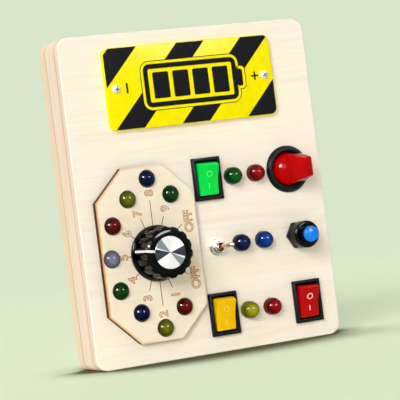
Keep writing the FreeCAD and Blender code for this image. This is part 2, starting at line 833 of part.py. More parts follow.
# Turned outline of the knob: skirt, slope, grip and bevelled top.
def knob_outline(name):
    slope_foot = "knob_foot + knob_skirt_thick"
    grip_foot = slope_foot + " + knob_slope_high"
    bevel_foot = "knob_top - knob_bevel_high"
    skirt = cylinder(name + "_skirt", "knob_skirt_wide", "knob_skirt_thick", 0, 0, "knob_foot")
    slope = cone(name + "_slope", "knob_skirt_wide", "knob_grip_wide + 2 * knob_slope_step",
                 "knob_slope_high", 0, 0, slope_foot)
    grip = cylinder(name + "_grip", "knob_grip_wide", "%s - (%s)" % (bevel_foot, grip_foot),
                    0, 0, grip_foot)
    bevel = cone(name + "_bevel", "knob_grip_wide", "knob_top_wide", "knob_bevel_high",
                 0, 0, bevel_foot)
    return fuse(name, [skirt, slope, grip, bevel])


# Fluted knob, hollow underneath, with a metal bush, a metal disc and a white pointer.
def make_knob():
    flute_count = 14
    tools = []
    flute_ring = "(knob_grip_wide / 2 + flute_wide / 2 - flute_sunk)"
    flute_foot = "knob_foot + knob_skirt_thick + knob_slope_high"
    for step in range(flute_count):
        angle = "(pointer_angle + %d.5 * 360 / %d)" % (step, flute_count)
        tools.append(cylinder("Knob_flute_%d" % step, "flute_wide", "knob_high",
                              "%s * cos(%s)" % (flute_ring, angle),
                              "%s * sin(%s)" % (flute_ring, angle), flute_foot))
    tools.append(cylinder("Knob_hollow", "knob_hollow_wide", "knob_hollow_high",
                          0, 0, "knob_foot"))
    tools.append(cylinder("Knob_core", "insert_wide", "spindle_top - knob_foot",
                          0, 0, "knob_foot"))
    tools.append(cylinder("Knob_seat", "disc_wide + 2 * disc_play", "disc_thick",
                          0, 0, "knob_top + disc_proud - disc_thick"))
    tools.append(grub_bar("Knob_grub_hole"))
    tools.append(pointer_bar("Knob_slot"))
    seat(cut("KnobBody", knob_outline("Knob_solid"), tools), "knob_body", "dial_x", z="dial_z")
    bush = cylinder("Insert_bar", "insert_wide", "spindle_top - knob_foot - knob_hollow_high",
                    0, 0, "knob_foot + knob_hollow_high")
    bore = cylinder("Insert_bore", "spindle_wide", "spindle_top")
    seat(cut("KnobInsert", bush, [bore, grub_bar("Insert_grub_hole")]), "knob_insert",
         "dial_x", z="dial_z")
    disc_low = "knob_top + disc_proud - disc_thick"
    disc = cylinder("Disc_sheet", "disc_wide", "disc_thick - disc_edge", 0, 0, disc_low)
    rim = cone("Disc_rim", "disc_wide", "disc_wide - 2 * disc_edge", "disc_edge",
               0, 0, disc_low + " + disc_thick - disc_edge")
    seat(fuse("KnobDisc", [disc, rim]), "knob_disc", "dial_x", z="dial_z")
    strip = doc.addObject("Part::Common", "PointerStrip")
    strip.Base = pointer_bar("Pointer_bar")
    strip.Tool = knob_outline("Pointer_outline")
    strip.Refine = True
    seat(strip, "knob_pointer", "dial_x", z="dial_z")
    seat(grub_screw(), "knob_set_screw", "dial_x", z="dial_z")


# Bar that points outwards from the knob's axis at the set screw's height.
def grub_bar(name, wide="grub_wide", long_way="knob_grip_wide"):
    bar = doc.addObject("Part::Cylinder", name)
    bind(bar, "Radius", "(%s) / 2" % wide)
    bind(bar, "Height", long_way)
    bind(bar, "Placement.Rotation.Yaw", "grub_angle")
    bind(bar, "Placement.Rotation.Pitch", 90)
    bind(bar, "Placement.Rotation.Roll", 0)
    return move(bar, z="dial_thick + grub_height")


# The set screw stands on the spindle's flat and ends a little inside the grip.
def grub_screw():
    inner = "(spindle_wide / 2 - flat_deep)"
    outer = "(knob_grip_wide / 2 - grub_sunk)"
    bar = grub_bar("Grub_bar", "grub_wide - 2 * screw_play", "%s - %s" % (outer, inner))
    move(bar, inner + " * cos(grub_angle)", inner + " * sin(grub_angle)",
         "dial_thick + grub_height")
    slot = doc.addObject("Part::Box", "Grub_slot")
    bind(slot, "Length", "2 * grub_slot_deep")
    bind(slot, "Width", "grub_slot_wide")
    bind(slot, "Height", "grub_wide")
    bind(slot, "Placement.Rotation.Yaw", "grub_angle")
    start = "(%s - grub_slot_deep)" % outer
    move(slot, start + " * cos(grub_angle) + grub_slot_wide / 2 * sin(grub_angle)",
         start + " * sin(grub_angle) - grub_slot_wide / 2 * cos(grub_angle)",
         "dial_thick + grub_height - grub_wide / 2")
    return cut("GrubScrew", bar, [slot])


# Bar along the pointer: over the top, down the grip and across the skirt.
def pointer_bar(name):
    grip = "knob_grip_wide / 2"
    steps = [
        ("disc_wide / 2 + disc_play", grip + " - pointer_deep", "knob_top - pointer_top_deep"),
        (grip + " - pointer_deep", "knob_skirt_wide / 2 - pointer_end_gap",
         "knob_foot + knob_skirt_thick - pointer_deep / 2"),
    ]
    pieces = []
    for step, (start, end, low) in enumerate(steps):
        pieces.append(box("%s_%d" % (name, step), "(%s) - (%s)" % (end, start),
                          "pointer_wide", "knob_high",
                          "((%s) + (%s)) / 2" % (start, end), 0, low))
    bar = fuse(name, pieces)
    bind(bar, "Placement.Rotation.Yaw", "pointer_angle")
    return bar


# Rocker switch: housing with a bezel, tilting actuator and two contact blades.
def make_rocker(colour, x, z):
    name = colour.capitalize() + "Rocker"
    body = new_body(name + "Housing")
    bezel = new_sketch(body, name + "_bezel_outline")
    draw_rectangle(bezel, "bezel_wide", "bezel_tall")
    pad(body, bezel, name + "_bezel", "bezel_thick")
    round_edges(body, name + "_bezel_edge", "bezel_round",
                lambda edge: is_upright(edge) or is_level_at(number("bezel_thick"))(edge))
    shell = new_sketch(body, name + "_shell_outline")
    draw_rectangle(shell, "rocker_body_wide", "rocker_body_tall")
    pad(body, shell, name + "_shell", "rocker_body_deep", downwards=True)
    well = new_sketch(body, name + "_well_outline", height="bezel_thick")
    draw_rectangle(well, "rocker_open_wide", "rocker_open_tall")
    pocket(body, well, name + "_well", "bezel_thick + rocker_body_deep - rocker_floor")
    pivot = new_sketch(body, name + "_pivot_outline", "YZ_Plane")
    draw_circle(pivot, "stub_wide + 2 * stub_play", 0, "rocker_pivot")
    pocket(body, pivot, name + "_pivot", "rocker_open_wide + 2 * (stub_long + stub_play)",
           both_ways=True)
    seat(body, "rocker_housing_" + colour, x, z=z)

    drum = doc.addObject("Part::Cylinder", name + "_drum")
    bind(drum, "Radius", "rocker_radius")
    bind(drum, "Height", "rocker_wide")
    bind(drum, "Placement.Rotation.Pitch", 90)
    move(drum, "-rocker_wide / 2")
    far_way = "3 * rocker_radius"
    upper = doc.addObject("Part::Box", name + "_upper_cut")
    lower = doc.addObject("Part::Box", name + "_lower_cut")
    for side in (upper, lower):
        bind(side, "Length", far_way)
        bind(side, "Width", far_way)
        bind(side, "Height", far_way)
    bind(upper, "Placement.Rotation.Roll", "rocker_vee")
    move(upper, "-1.5 * rocker_radius", 0, "rocker_waist")
    bind(lower, "Placement.Rotation.Roll", "-rocker_vee")
    move(lower, "-1.5 * rocker_radius", "-3 * rocker_radius * cos(rocker_vee)",
         "rocker_waist + 3 * rocker_radius * sin(rocker_vee)")
    under = box(name + "_under_cut", far_way, far_way, far_way, 0, 0,
                "-rocker_below - 3 * rocker_radius")
    block = cut(name + "_block", drum, [upper, lower, under])
    stub = doc.addObject("Part::Cylinder", name + "_stub")
    stub_span = "rocker_open_wide + 2 * stub_long"
    bind(stub, "Radius", "stub_wide / 2")
    bind(stub, "Height", stub_span)
    bind(stub, "Placement.Rotation.Pitch", 90)
    move(stub, "-(%s) / 2" % stub_span)
    seat(fuse(name, [block, stub]), "rocker_" + colour, x,
         "face_y - rocker_pivot", z, roll="90 + rocker_tilt")
    blades = []
    for step in (-1, 1):
        blades.append(box("%s_blade%d" % (name, step), "blade_wide", "blade_thick",
                          "-rocker_body_deep - blade_end", x,
                          "(%s) + %d * rocker_blade_pitch / 2" % (z, step), "blade_end"))
    return blades


def make_toggle():
    case = box("Toggle_case", "toggle_body_wide", "toggle_body_tall", "toggle_body_deep",
               0, 0, "-front_thick - toggle_body_deep")
    well = cylinder("Toggle_well", "toggle_well_wide", "toggle_well_deep",
                    0, 0, "-front_thick - toggle_well_deep")
    seat(cut("ToggleBody", case, [well]), "toggle_body", "toggle_x", z="toggle_z")
    thread = cylinder("ToggleBush_thread", "toggle_bush_wide", "front_thick + toggle_proud",
                      0, 0, "-front_thick")
    bore = cylinder("ToggleBush_bore", "toggle_ball_wide + 2 * toggle_play",
                    "2 * (front_thick + toggle_proud)", 0, 0, "-front_thick - toggle_proud")
    seat(cut("ToggleBush", thread, [bore]), "toggle_bush", "toggle_x", z="toggle_z")
    washer = cylinder("Toggle_washer", "toggle_washer_wide", "toggle_washer_thick")
    nut = hexagon("Toggle_hexagon", "toggle_nut_flats", "toggle_nut_thick",
                  "toggle_washer_thick")
    hole = cylinder("Toggle_hole", "toggle_bush_wide + 2 * toggle_play",
                    "3 * toggle_nut_thick", 0, 0, "-toggle_nut_thick")
    seat(cut("ToggleNut", fuse("Toggle_stack", [washer, nut]), [hole]), "toggle_nut",
         "toggle_x", z="toggle_z")
    ball = sphere("Lever_ball", "toggle_ball_wide")
    bat = cone("Lever_bat", "toggle_neck", "toggle_tip", "toggle_reach - toggle_tip / 2")
    end = sphere("Lever_end", "toggle_tip", 0, 0, "toggle_reach - toggle_tip / 2")
    tail = cylinder("Lever_tail", "toggle_tail_wide", "toggle_tail", 0, 0, "-toggle_tail")
    lever = fuse("Lever_whole", [ball, bat, end, tail])
    bind(lever, "Placement.Rotation.Pitch", "toggle_lean")
    # the throw runs a little uphill, as the switch was turned when its nut was done up
    throw = group("Lever_throw", [lever])
    bind(throw, "Placement.Rotation.Yaw", "toggle_turn")
    seat(group("Lever", [throw]), "toggle_lever", "toggle_x",
         "face_y - toggle_pivot", "toggle_z")
    lugs = []
    for step in (-1, 0, 1):
        lugs.append(box("ToggleLug_%d" % (step + 1), "blade_thick", "toggle_lug_wide",
                        "-front_thick - toggle_body_deep - blade_end",
                        "%d * toggle_lug_pitch" % step, 0, "blade_end"))
    seat(group("ToggleLugs", lugs), "toggle_contacts", "toggle_x", z="toggle_z")


# Paddle switch: round flange and barrel, and a ball with a flat paddle on it.
def make_paddle():
    flange = cone("Paddle_flange", "flange_wide", "flange_top_wide", "flange_thick")
    barrel = cylinder("Paddle_barrel", "barrel_wide", "barrel_deep", 0, 0, "-barrel_deep")
    bowl_depth = "flange_thick - paddle_pivot + paddle_ball_wide / 2 + paddle_play"
    bowl = cylinder("Paddle_bowl", "paddle_ball_wide + 2 * paddle_play", bowl_depth,
                    0, 0, "flange_thick - (%s)" % bowl_depth)
    span = "paddle_ball_wide + 2 * paddle_play + 2 * stub_long"
    hole_span = span + " + 2 * stub_play"
    pin_hole = paddle_pin("Paddle_pin_hole", "stub_wide + 2 * stub_play", hole_span)
    move(pin_hole, 0, "-(%s) / 2" % hole_span, "paddle_pivot")
    housing = cut("PaddleHousing", fuse("Paddle_shell", [flange, barrel]), [bowl, pin_hole])
    seat(housing, "paddle_housing", "paddle_x", z="row_high")
    ball = sphere("Paddle_ball", "paddle_ball_wide")
    trim = box("Paddle_trim", "2 * paddle_ball_wide", "2 * paddle_ball_wide",
               "paddle_ball_wide", 0, 0, "-paddle_below - paddle_ball_wide")
    rotor = cut("Paddle_rotor", ball, [trim])
    neck = paddle_wedge("Paddle_neck", "root", "ridge", "paddle_root", "paddle_ridge")
    blade = paddle_wedge("Paddle_blade", "ridge", "tip", "paddle_ridge", "paddle_reach")
    pin = paddle_pin("Paddle_pin", "stub_wide", span)
    move(pin, 0, "-(%s) / 2" % span, 0)
    with_pin = fuse("Paddle_with_pin", [rotor, neck, blade, pin])
    bind(with_pin, "Placement.Rotation.Pitch", "paddle_lean")
    seat(group("Paddle", [with_pin]), "paddle_lever", "paddle_x",
         "face_y - paddle_pivot", "row_high")
    blades = []
    for step in (-1, 0, 1):
        blades.append(box("PaddleBlade_%d" % (step + 1), "blade_thick", "blade_wide",
                          "-barrel_deep - blade_end",
                          "%d * paddle_blade_pitch" % step, 0, "blade_end"))
    seat(group("PaddleBlades", blades), "paddle_contacts", "paddle_x", z="row_high")


# Four-sided length of the paddle between two of its cross-sections.
def paddle_wedge(name, low_end, high_end, low, high):
    wedge = doc.addObject("Part::Wedge", name)
    for side, end in (("", low_end), ("2", high_end)):
        for axis, across in (("X", "thick"), ("Z", "wide")):
            half = "paddle_%s_%s / 2" % (end, across)
            bind(wedge, axis + side + "min", "-" + half)
            bind(wedge, axis + side + "max", half)
    bind(wedge, "Ymin", low)
    bind(wedge, "Ymax", high)
    bind(wedge, "Placement.Rotation.Roll", 90)
    return wedge


# Bar along the paddle's upright hinge line.
def paddle_pin(name, wide, long_way):
    bar = doc.addObject("Part::Cylinder", name)
    bind(bar, "Radius", "(%s) / 2" % wide)
    bind(bar, "Height", long_way)
    bind(bar, "Placement.Rotation.Roll", -90)
    return bar


# Push button: threaded body with a collar, two nuts, cap, return spring and pins.
def make_push_button():
    collar = cylinder("Push_collar", "push_collar_wide", "push_collar_high",
                      0, 0, "push_collar_low")
    shank = cylinder("Push_shank", "push_shank_wide",
                     "push_collar_low + front_thick + push_deep",
                     0, 0, "-front_thick - push_deep")
    mouth = cylinder("Push_mouth", "push_cap_wide + 2 * push_play", "2 * push_lip",
                     0, 0, "push_collar_top - push_lip")
    room = cylinder("Push_room", "push_cap_wide + 2 * push_rim + 2 * push_play",
                    "push_collar_high - push_lip", 0, 0, "push_collar_low")
    bore = cylinder("Push_bore", "spring_wide + 2 * spring_play", "spring_sunk",
                    0, 0, "spring_foot")
    seat(cut("PushBody", fuse("Push_solid", [collar, shank]), [mouth, room, bore]),
         "push_body", "column_x", z="row_mid")
    nuts = []
    for name, low in (("PushNut_front", "0"), ("PushNut_back", "-front_thick - push_nut_thick")):
        bar = hexagon(name + "_hexagon", "push_nut_flats", "push_nut_thick", low)
        bind(bar, "Placement.Rotation.Yaw", "push_nut_turn")
        hole = cylinder(name + "_hole", "push_shank_wide + 2 * screw_play",
                        "3 * push_nut_thick", 0, 0, "%s - push_nut_thick" % low)
        nuts.append(cut(name, bar, [hole]))
    seat(group("PushNuts", nuts), "push_nuts", "column_x", z="row_mid")
    cap_top = "push_collar_top + push_cap_proud"
    post = cylinder("Cap_post", "push_cap_wide",
                    "%s - push_dome_high - push_rim_low" % cap_top, 0, 0, "push_rim_low")
    dome = cone("Cap_dome", "push_cap_wide", "push_cap_wide - 2 * push_dome_high",
                "push_dome_high", 0, 0, "%s - push_dome_high" % cap_top)
    rim = cylinder("Cap_rim", "push_cap_wide + 2 * push_rim", "push_rim_thick",
                   0, 0, "push_rim_low")
    stem_foot = "spring_foot + push_travel + push_stem_gap"
    stem = cylinder("Cap_stem", "push_stem_wide", "push_rim_low - (%s)" % stem_foot,
                    0, 0, stem_foot)
    seat(fuse("PushCap", [post, dome, rim, stem]), "push_cap", "column_x", z="row_mid")
    pins = []
    for step in (-1, 1):
        pins.append(box("PushPin_%d" % (step + 1), "blade_thick", "push_pin_wide",
                        "-front_thick - push_deep - blade_end",
                        "%d * push_pin_pitch / 2" % step, 0, "blade_end"))
    seat(group("PushPins", pins), "push_contacts", "column_x", z="row_mid")
    spring = doc.addObject("Part::Feature", "PushSpring")
    high = number("push_rim_low") - number("spring_foot")
    turns = coil(number("spring_wide"), number("spring_wire"), high, number("spring_turns"))
    spring.Shape = Part.makeCompound([turns])
    seat(spring, "push_spring", "column_x", "face_y - spring_foot", "row_mid")


# Arc from start to end that leaves start towards the corner point.
def arc_to(start, corner, end):
    half_chord = (end - start).Length / 2
    middle = (start + end) / 2
    half_turn = math.acos(half_chord / (corner - start).Length)
    toward = (corner - middle).normalize()
    return Part.Arc(start, middle + toward * half_chord * math.tan(half_turn / 2), end).toShape()


# Round-wire coil between z = 0 and the given height, drawn as pairs of arcs that meet
# halfway through each quarter turn.
def coil(wide, wire, high, turns):
    gap = number("coil_end_gap")
    radius = (wide - wire) / 2
    rise = (high - wire - 2 * gap) / (2 * math.pi * turns)
    quarters = int(round(4 * turns))
    spots = []
    for step in range(quarters + 1):
        angle = 2 * math.pi * turns * step / quarters
        place = FreeCAD.Vector(radius * math.cos(angle), radius * math.sin(angle),
                               wire / 2 + gap + rise * angle)
        along = FreeCAD.Vector(-radius * math.sin(angle), radius * math.cos(angle), rise)
        spots.append((place, along.normalize()))
    edges = []
    for (start, leave), (end, arrive) in zip(spots, spots[1:]):
        chord = end - start
        both = leave + arrive
        bend = 2 * (1 - leave.dot(arrive))
        slant = chord.dot(both)
        reach = (math.sqrt(slant ** 2 + bend * chord.dot(chord)) - slant) / bend
        first = start + leave * reach
        second = end - arrive * reach
        joint = (first + second) / 2
        edges.append(arc_to(start, first, joint))
        edges.append(arc_to(joint, second, end))
    path = Part.Wire(edges)
    start, along = spots[0]
    ring = Part.Wire([Part.makeCircle(wire / 2, start, along)])
    solid = path.makePipeShell([ring], True, False)
    check_volume(solid, wire, path.Length)
    return solid


# A tube's volume is its section times its length.
def check_volume(solid, wide, long_way):
    expected = math.pi * wide ** 2 / 4 * long_way
    if abs(solid.Volume - expected) > 0.01 * expected:
        raise SystemExit("a tube has the wrong volume")


# Battery box behind the label, open to the back, with two screw bosses.
def make_battery_box():
    body = box("Box_block", "box_wide", "box_tall", "box_deep", 0, 0, "skin_z")
    inside = box("Box_inside", "box_inner_wide", "box_inner_tall", "box_deep - box_wall",
                 0, 0, "skin_z")
    hollow = cut("Box_shell", body, [inside])
    pieces = [hollow]
    for index, side in enumerate(("-", "")):
        boss = box("Box_boss_%d" % index, "box_boss", "box_boss", "box_boss_deep",
                   "%s(door_screw_x)" % side, 0, "skin_z")
        pieces.append(boss)
    holes = []
    for index, side in enumerate(("-", "")):
        holes.append(cylinder("Box_hole_%d" % index, "wood_screw_shank + 2 * screw_play",
                              "box_boss_hole", "%s(door_screw_x)" % side, 0, "skin_z"))
    seat(cut("BatteryBox", fuse("Box_whole", pieces), holes), "battery_box", z="label_mid")


def make_cells():
    pieces = []
    for index, side in enumerate((-1, 1)):
        y = "%d * (cell_wide + cell_gap) / 2" % side
        bar = doc.addObject("Part::Cylinder", "Cell_bar_%d" % index)
        nub = doc.addObject("Part::Cylinder", "Cell_nub_%d" % index)
        bind(bar, "Radius", "cell_wide / 2")
        bind(bar, "Height", "cell_long")
        bind(nub, "Radius", "cell_nub_wide / 2")
        bind(nub, "Height", "cell_nub_high")
        for thing in (bar, nub):
            bind(thing, "Placement.Rotation.Pitch", 90)
        start = "-(cell_long + %d * cell_nub_high) / 2" % side
        move(bar, start, y, "cell_mid")
        if side > 0:
            move(nub, start + " + cell_long", y, "cell_mid")
        else:
            move(nub, start + " - cell_nub_high", y, "cell_mid")
        pieces.append(fuse("Cell_%d" % index, [bar, nub]))
    seat(group("Cells", pieces), "batteries", z="label_mid")


# Each cell has a coil spring at its flat end and a plate with a bump at its nub.
def make_cell_contacts():
    thick = number("contact_thick")
    tall = number("cell_plate_tall")
    bump_tall = number("cell_bump_tall")
    reach = number("box_inner_wide") / 2
    cell_end = (number("cell_long") + number("cell_nub_high")) / 2
    turn = FreeCAD.Rotation(FreeCAD.Vector(0, 1, 0), 90)
    solids = []
    for side in (-1, 1):
        middle = FreeCAD.Vector(0, side * (number("cell_wide") + number("cell_gap")) / 2,
                                number("cell_mid"))
        flat_end = Part.makeBox(thick, tall, tall,
                                FreeCAD.Vector(-reach, -tall / 2, -tall / 2))
        nub_end = Part.makeBox(thick, tall, tall,
                               FreeCAD.Vector(reach - thick, -tall / 2, -tall / 2))
        bump = Part.makeBox(reach - thick - cell_end, bump_tall, bump_tall,
                            FreeCAD.Vector(cell_end, -bump_tall / 2, -bump_tall / 2))
        spring = coil(number("cell_spring_wide"), number("cell_spring_wire"),
                      reach - thick - cell_end, number("cell_spring_turns"))
        spring.Placement = FreeCAD.Placement(FreeCAD.Vector(thick - reach, 0, 0), turn)
        for solid in (flat_end, nub_end.fuse(bump).removeSplitter(), spring):
            if side < 0:
                solid.rotate(FreeCAD.Vector(), FreeCAD.Vector(0, 0, 1), 180)
            solid.translate(middle)
            solids += solid.Solids
    contacts = doc.addObject("Part::Feature", "CellContacts")
    contacts.Shape = Part.makeCompound(solids)
    seat(contacts, "battery_contacts", z="label_mid")


# Signed value of a table entry such as "-lamp_far_up".
def signed(text):
    if text == "0":
        return 0.0
    if text.startswith("-"):
        return -number(text[1:])
    return number(text)


# Round wire through points in one plane behind the front face. Straight runs are
# joined by arcs as large as the bend allows.
def cable(points, plane):
    spots = [FreeCAD.Vector(x, y, -plane) for x, y in points]
    edges = []
    start = spots[0]
    for before, corner, after in zip(spots, spots[1:], spots[2:]):
        back = before - corner
        ahead = after - corner
        turn = math.pi - back.getAngle(ahead)
        shorter = min(back.Length, ahead.Length)
        radius = min(number("wire_bend"), 0.45 * shorter / math.tan(turn / 2))
        step = radius * math.tan(turn / 2)
        enter = corner + back.normalize() * step
        leave = corner + ahead.normalize() * step
        toward = (back + ahead).normalize()
        middle = corner + toward * (radius / math.cos(turn / 2) - radius)
        edges.append(Part.LineSegment(start, enter).toShape())
        edges.append(Part.Arc(enter, middle, leave).toShape())
        start = leave
    edges.append(Part.LineSegment(start, spots[-1]).toShape())
    path = Part.Wire(edges)
    along = spots[1] - spots[0]
    ring = Part.Wire([Part.makeCircle(number("wire_wide") / 2, spots[0], along)])
    solid = path.makePipeShell([ring], True, False)
    check_volume(solid, number("wire_wide"), path.Length)
    return solid


# Wires from the contacts of the rotary switch to the inner leads of the dial's lamps.
def dial_feeds():
    found = []
    middle_x = number("dial_x")
    middle_y = number("dial_z")
    ring = number("contact_ring") / 2
    out = number("wire_out")
    lead = number("lead_pitch") / 2 + number("lead_wide") / 2 + number("wire_gap")
    pin_end = number("contact_pin_wide") / 2 + number("wire_gap")
    turn = number("dial_turn")
    for figure, (side, up) in dial_lamps.items():
        toward = -1 if figure in (1, 9) else 1
        x = middle_x + signed(side) + toward * lead
        y = middle_y + signed(up)
        angle = math.radians(180 - (figure - 5) * turn / 5)
        points = [(x, y), (x + toward * out, y)]
        for reach in (ring + pin_end + out, ring + pin_end):
            points.append((middle_x + reach * math.cos(angle), middle_y + reach * math.sin(angle)))
        if figure == 5:
            points = [points[0], points[-1]]
        found.append(cable(points, number("wire_plane_red")))
    return found


# Common wire that links the outer leads of the dial's lamps, one to the next.
def dial_common():
    found = []
    lead = number("lead_pitch") / 2 + number("lead_wide") / 2 + number("wire_gap")
    order = sorted(dial_lamps)
    for figure, following in zip(order, order[1:]):
        spots = []
        for name in (figure, following):
            side, up = dial_lamps[name]
            spots.append((number("dial_x") + signed(side) - lead, number("dial_z") + signed(up)))
        (x, y), (next_x, next_y) = spots
        edge = min(x, next_x) - number("wire_out")
        plane = "wire_plane_near" if figure % 2 else "wire_plane_far"
        found.append(cable([(x, y), (edge, y), (edge, next_y), (next_x, next_y)],
                           number(plane)))
    return found


# Wires down the rocker column and from the lamps to the switches beside them.
def switch_feeds():
    plane = number("wire_plane_red")
    gap = number("wire_gap")
    column = number("rocker_x")
    blade = number("rocker_blade_pitch") / 2 + number("blade_thick") / 2 + gap
    lug = number("toggle_lug_wide") / 2 + gap
    box_low = number("label_mid") - number("box_tall") / 2 - gap
    toggle = number("toggle_x")
    middle = number("toggle_z")
    jog = number("wire_jog")
    above = number("row_high") - blade
    below = number("row_low") + blade
    return [
        cable([(column, box_low), (column, number("row_high") + blade)], plane),
        cable([(column, above), (column, middle + lug + 2 * jog),
               (toggle, middle + lug + jog), (toggle, middle + lug)], plane),
        cable([(toggle, middle - lug), (toggle, middle - lug - jog),
               (column, middle - lug - 2 * jog), (column, below)], plane),
    ]


def lamp_links():
    plane = number("wire_plane_red")
    lead = number("lead_pitch") / 2 + number("lead_wide") / 2 + number("wire_gap")
    left = number("lamp_left_x")
    right = number("lamp_right_x")
    found = []
    ends = {
        "row_high": number("paddle_x") - number("paddle_blade_pitch"),
        "row_mid": number("column_x") - number("push_pin_pitch") / 2,
    }
    half_blade = number("blade_thick") / 2 + number("wire_gap")
    for row, end in ends.items():
        y = number(row)
        found.append(cable([(right + lead, y), (end - half_blade, y)], plane))
    for row in ("row_high", "row_mid", "row_low"):
        y = number(row)
        found.append(cable([(left + lead, y), (right - lead, y)], plane))
    y = number("row_low")
    rise = number("rocker_blade_pitch") / 2
    end = number("column_x") - number("blade_wide") / 2 - number("wire_gap")
    bend = (right + lead + end) / 2
    found.append(cable([(right + lead, y), (bend - rise / 2, y), (bend + rise / 2, y + rise),
                        (end, y + rise)], plane))
    return found


# Return wire from the battery box down to the top lamp of the dial.
def battery_return():
    side, up = dial_lamps[8]
    x = number("dial_x") - number("lead_pitch") / 2
    y = number("dial_z") + signed(up) + number("lead_wide") / 2 + number("wire_gap")
    box_low = number("label_mid") - number("box_tall") / 2 - number("wire_gap")
    start = -number("box_inner_wide") / 2 + number("wire_out")
    drop = number("wire_drop")
    return cable([(start, box_low), (start, box_low - drop), (x, y + drop), (x, y)],
                 number("wire_plane_mid"))


def make_wires():
    groups = {
        "wires_red": dial_feeds() + switch_feeds(),
        "wires_black": dial_common() + lamp_links() + [battery_return()],
    }
    for label, wires in groups.items():
        feature = doc.addObject("Part::Feature", label.title().replace("_", ""))
        feature.Shape = Part.makeCompound(wires)
        seat(feature, label)


make_front_panel()
make_middle_frame()
make_back_panel()
make_battery_door()
make_back_screws()
make_door_screws()
make_label()
make_dial_plate()
make_lamps()
make_rotary_switch()
make_spindle()
make_knob()
rocker_blades = []
for colour, (x, z) in rockers.items():
    rocker_blades += make_rocker(colour, x, z)
seat(group("RockerBlades", rocker_blades), "rocker_contacts")
make_toggle()
make_paddle()
make_push_button()
make_battery_box()
make_cells()
make_cell_contacts()
make_wires()

doc.recompute()

failed = []
for thing in doc.Objects:
    if "Invalid" in thing.State or "Error" in thing.State:
        failed.append(thing.Name)
for node in nodes:
    if node.Shape.isNull() or not node.Shape.isValid():
        failed.append(node.Label)
if failed:
    raise SystemExit("pieces that failed: " + ", ".join(failed))

os.makedirs("parts", exist_ok=True)
for node in nodes:
    node.Shape.exportStep("parts/%s.step" % node.Label)
print("wrote %d pieces, board %.1f x %.1f x %.1f mm" % (
    len(nodes), number("board_wide"), number("board_deep"), number("board_tall")))
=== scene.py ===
import math

import bmesh
import bpy
from mathutils import Matrix, Vector


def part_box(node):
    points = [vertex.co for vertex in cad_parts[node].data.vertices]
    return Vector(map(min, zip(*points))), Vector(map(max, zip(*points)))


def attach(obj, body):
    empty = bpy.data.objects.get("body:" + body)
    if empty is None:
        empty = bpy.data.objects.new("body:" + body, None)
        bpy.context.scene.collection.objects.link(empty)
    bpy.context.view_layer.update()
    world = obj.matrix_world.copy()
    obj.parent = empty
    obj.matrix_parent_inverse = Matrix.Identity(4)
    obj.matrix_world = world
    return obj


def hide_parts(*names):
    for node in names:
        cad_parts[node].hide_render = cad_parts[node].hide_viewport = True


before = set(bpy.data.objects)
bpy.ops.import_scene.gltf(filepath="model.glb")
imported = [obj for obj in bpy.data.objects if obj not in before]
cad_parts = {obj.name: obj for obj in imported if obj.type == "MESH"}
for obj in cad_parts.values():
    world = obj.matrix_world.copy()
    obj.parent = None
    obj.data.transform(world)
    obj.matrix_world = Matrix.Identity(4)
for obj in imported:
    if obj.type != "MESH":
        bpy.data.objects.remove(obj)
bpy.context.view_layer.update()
mm = 0.001

boardPlace = {
    "faceY": -0.0125,       # the front face
    "frontSeamY": -0.0075,  # joint between front sheet and frame
    "backSeamY": 0.0045,    # joint between frame and back sheet
}


# sRGB hex value to the linear colour that the sockets take.
def toLinear(hexValue, alpha=1.0):
    parts = [int(hexValue[i:i + 2], 16) / 255 for i in (1, 3, 5)]
    linear = [c / 12.92 if c <= 0.04045 else ((c + 0.055) / 1.055) ** 2.4 for c in parts]
    return (*linear, alpha)


# A node with its settings; an input is a value or another node's output.
def addNode(tree, kind, inputs=None, **settings):
    node = tree.nodes.new(kind)
    for name, value in settings.items():
        setattr(node, name, value)
    for name, value in (inputs or {}).items():
        if isinstance(value, bpy.types.NodeSocket):
            tree.links.new(value, node.inputs[name])
        else:
            node.inputs[name].default_value = value
    return node


# An empty material with its tree, its surface shader and its object coordinates.
def newMaterial(name, **shader):
    material = bpy.data.materials.new(name)
    material.use_nodes = True
    tree = material.node_tree
    surface = tree.nodes["Principled BSDF"]
    for socket, value in shader.items():
        surface.inputs[socket.replace("_", " ")].default_value = value
    where = addNode(tree, "ShaderNodeTexCoord").outputs["Object"]
    return material, tree, surface, where


# Middle of a node's box, for what is built round it.
def nodeMiddle(name):
    low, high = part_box(name)
    return (low + high) / 2


# Moves a piece drawn as seen from the front (x right, y up, z outwards) onto the board.
def standAt(x, z, out=0.0):
    place = Vector((x, boardPlace["faceY"] - out, z))
    return Matrix.Translation(place) @ Matrix.Rotation(math.radians(90), 4, "X")


# Turns a bmesh into a finished piece that rides on a body.
def finishPiece(shape, name, body, finishes, place=None, sharpAt=32, merge=True):
    if merge:
        bmesh.ops.remove_doubles(shape, verts=shape.verts, dist=1e-6)
    if place is not None:
        bmesh.ops.transform(shape, matrix=place, verts=shape.verts)
    bmesh.ops.recalc_face_normals(shape, faces=shape.faces)
    mesh = bpy.data.meshes.new(name)
    shape.to_mesh(mesh)
    shape.free()
    for finish in finishes:
        mesh.materials.append(finish)
    mesh.shade_smooth()
    mesh.set_sharp_from_angle(angle=math.radians(sharpAt))
    piece = bpy.data.objects.new(name, mesh)
    bpy.context.scene.collection.objects.link(piece)
    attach(piece, body)
    return piece


# Bakes a piece's modifiers into its mesh.
def applyModifiers(piece, sharpAt=32):
    bpy.context.view_layer.update()
    graph = bpy.context.evaluated_depsgraph_get()
    mesh = bpy.data.meshes.new_from_object(piece.evaluated_get(graph))
    piece.modifiers.clear()
    piece.data = mesh
    mesh.shade_smooth()
    mesh.set_sharp_from_angle(angle=math.radians(sharpAt))
    return piece


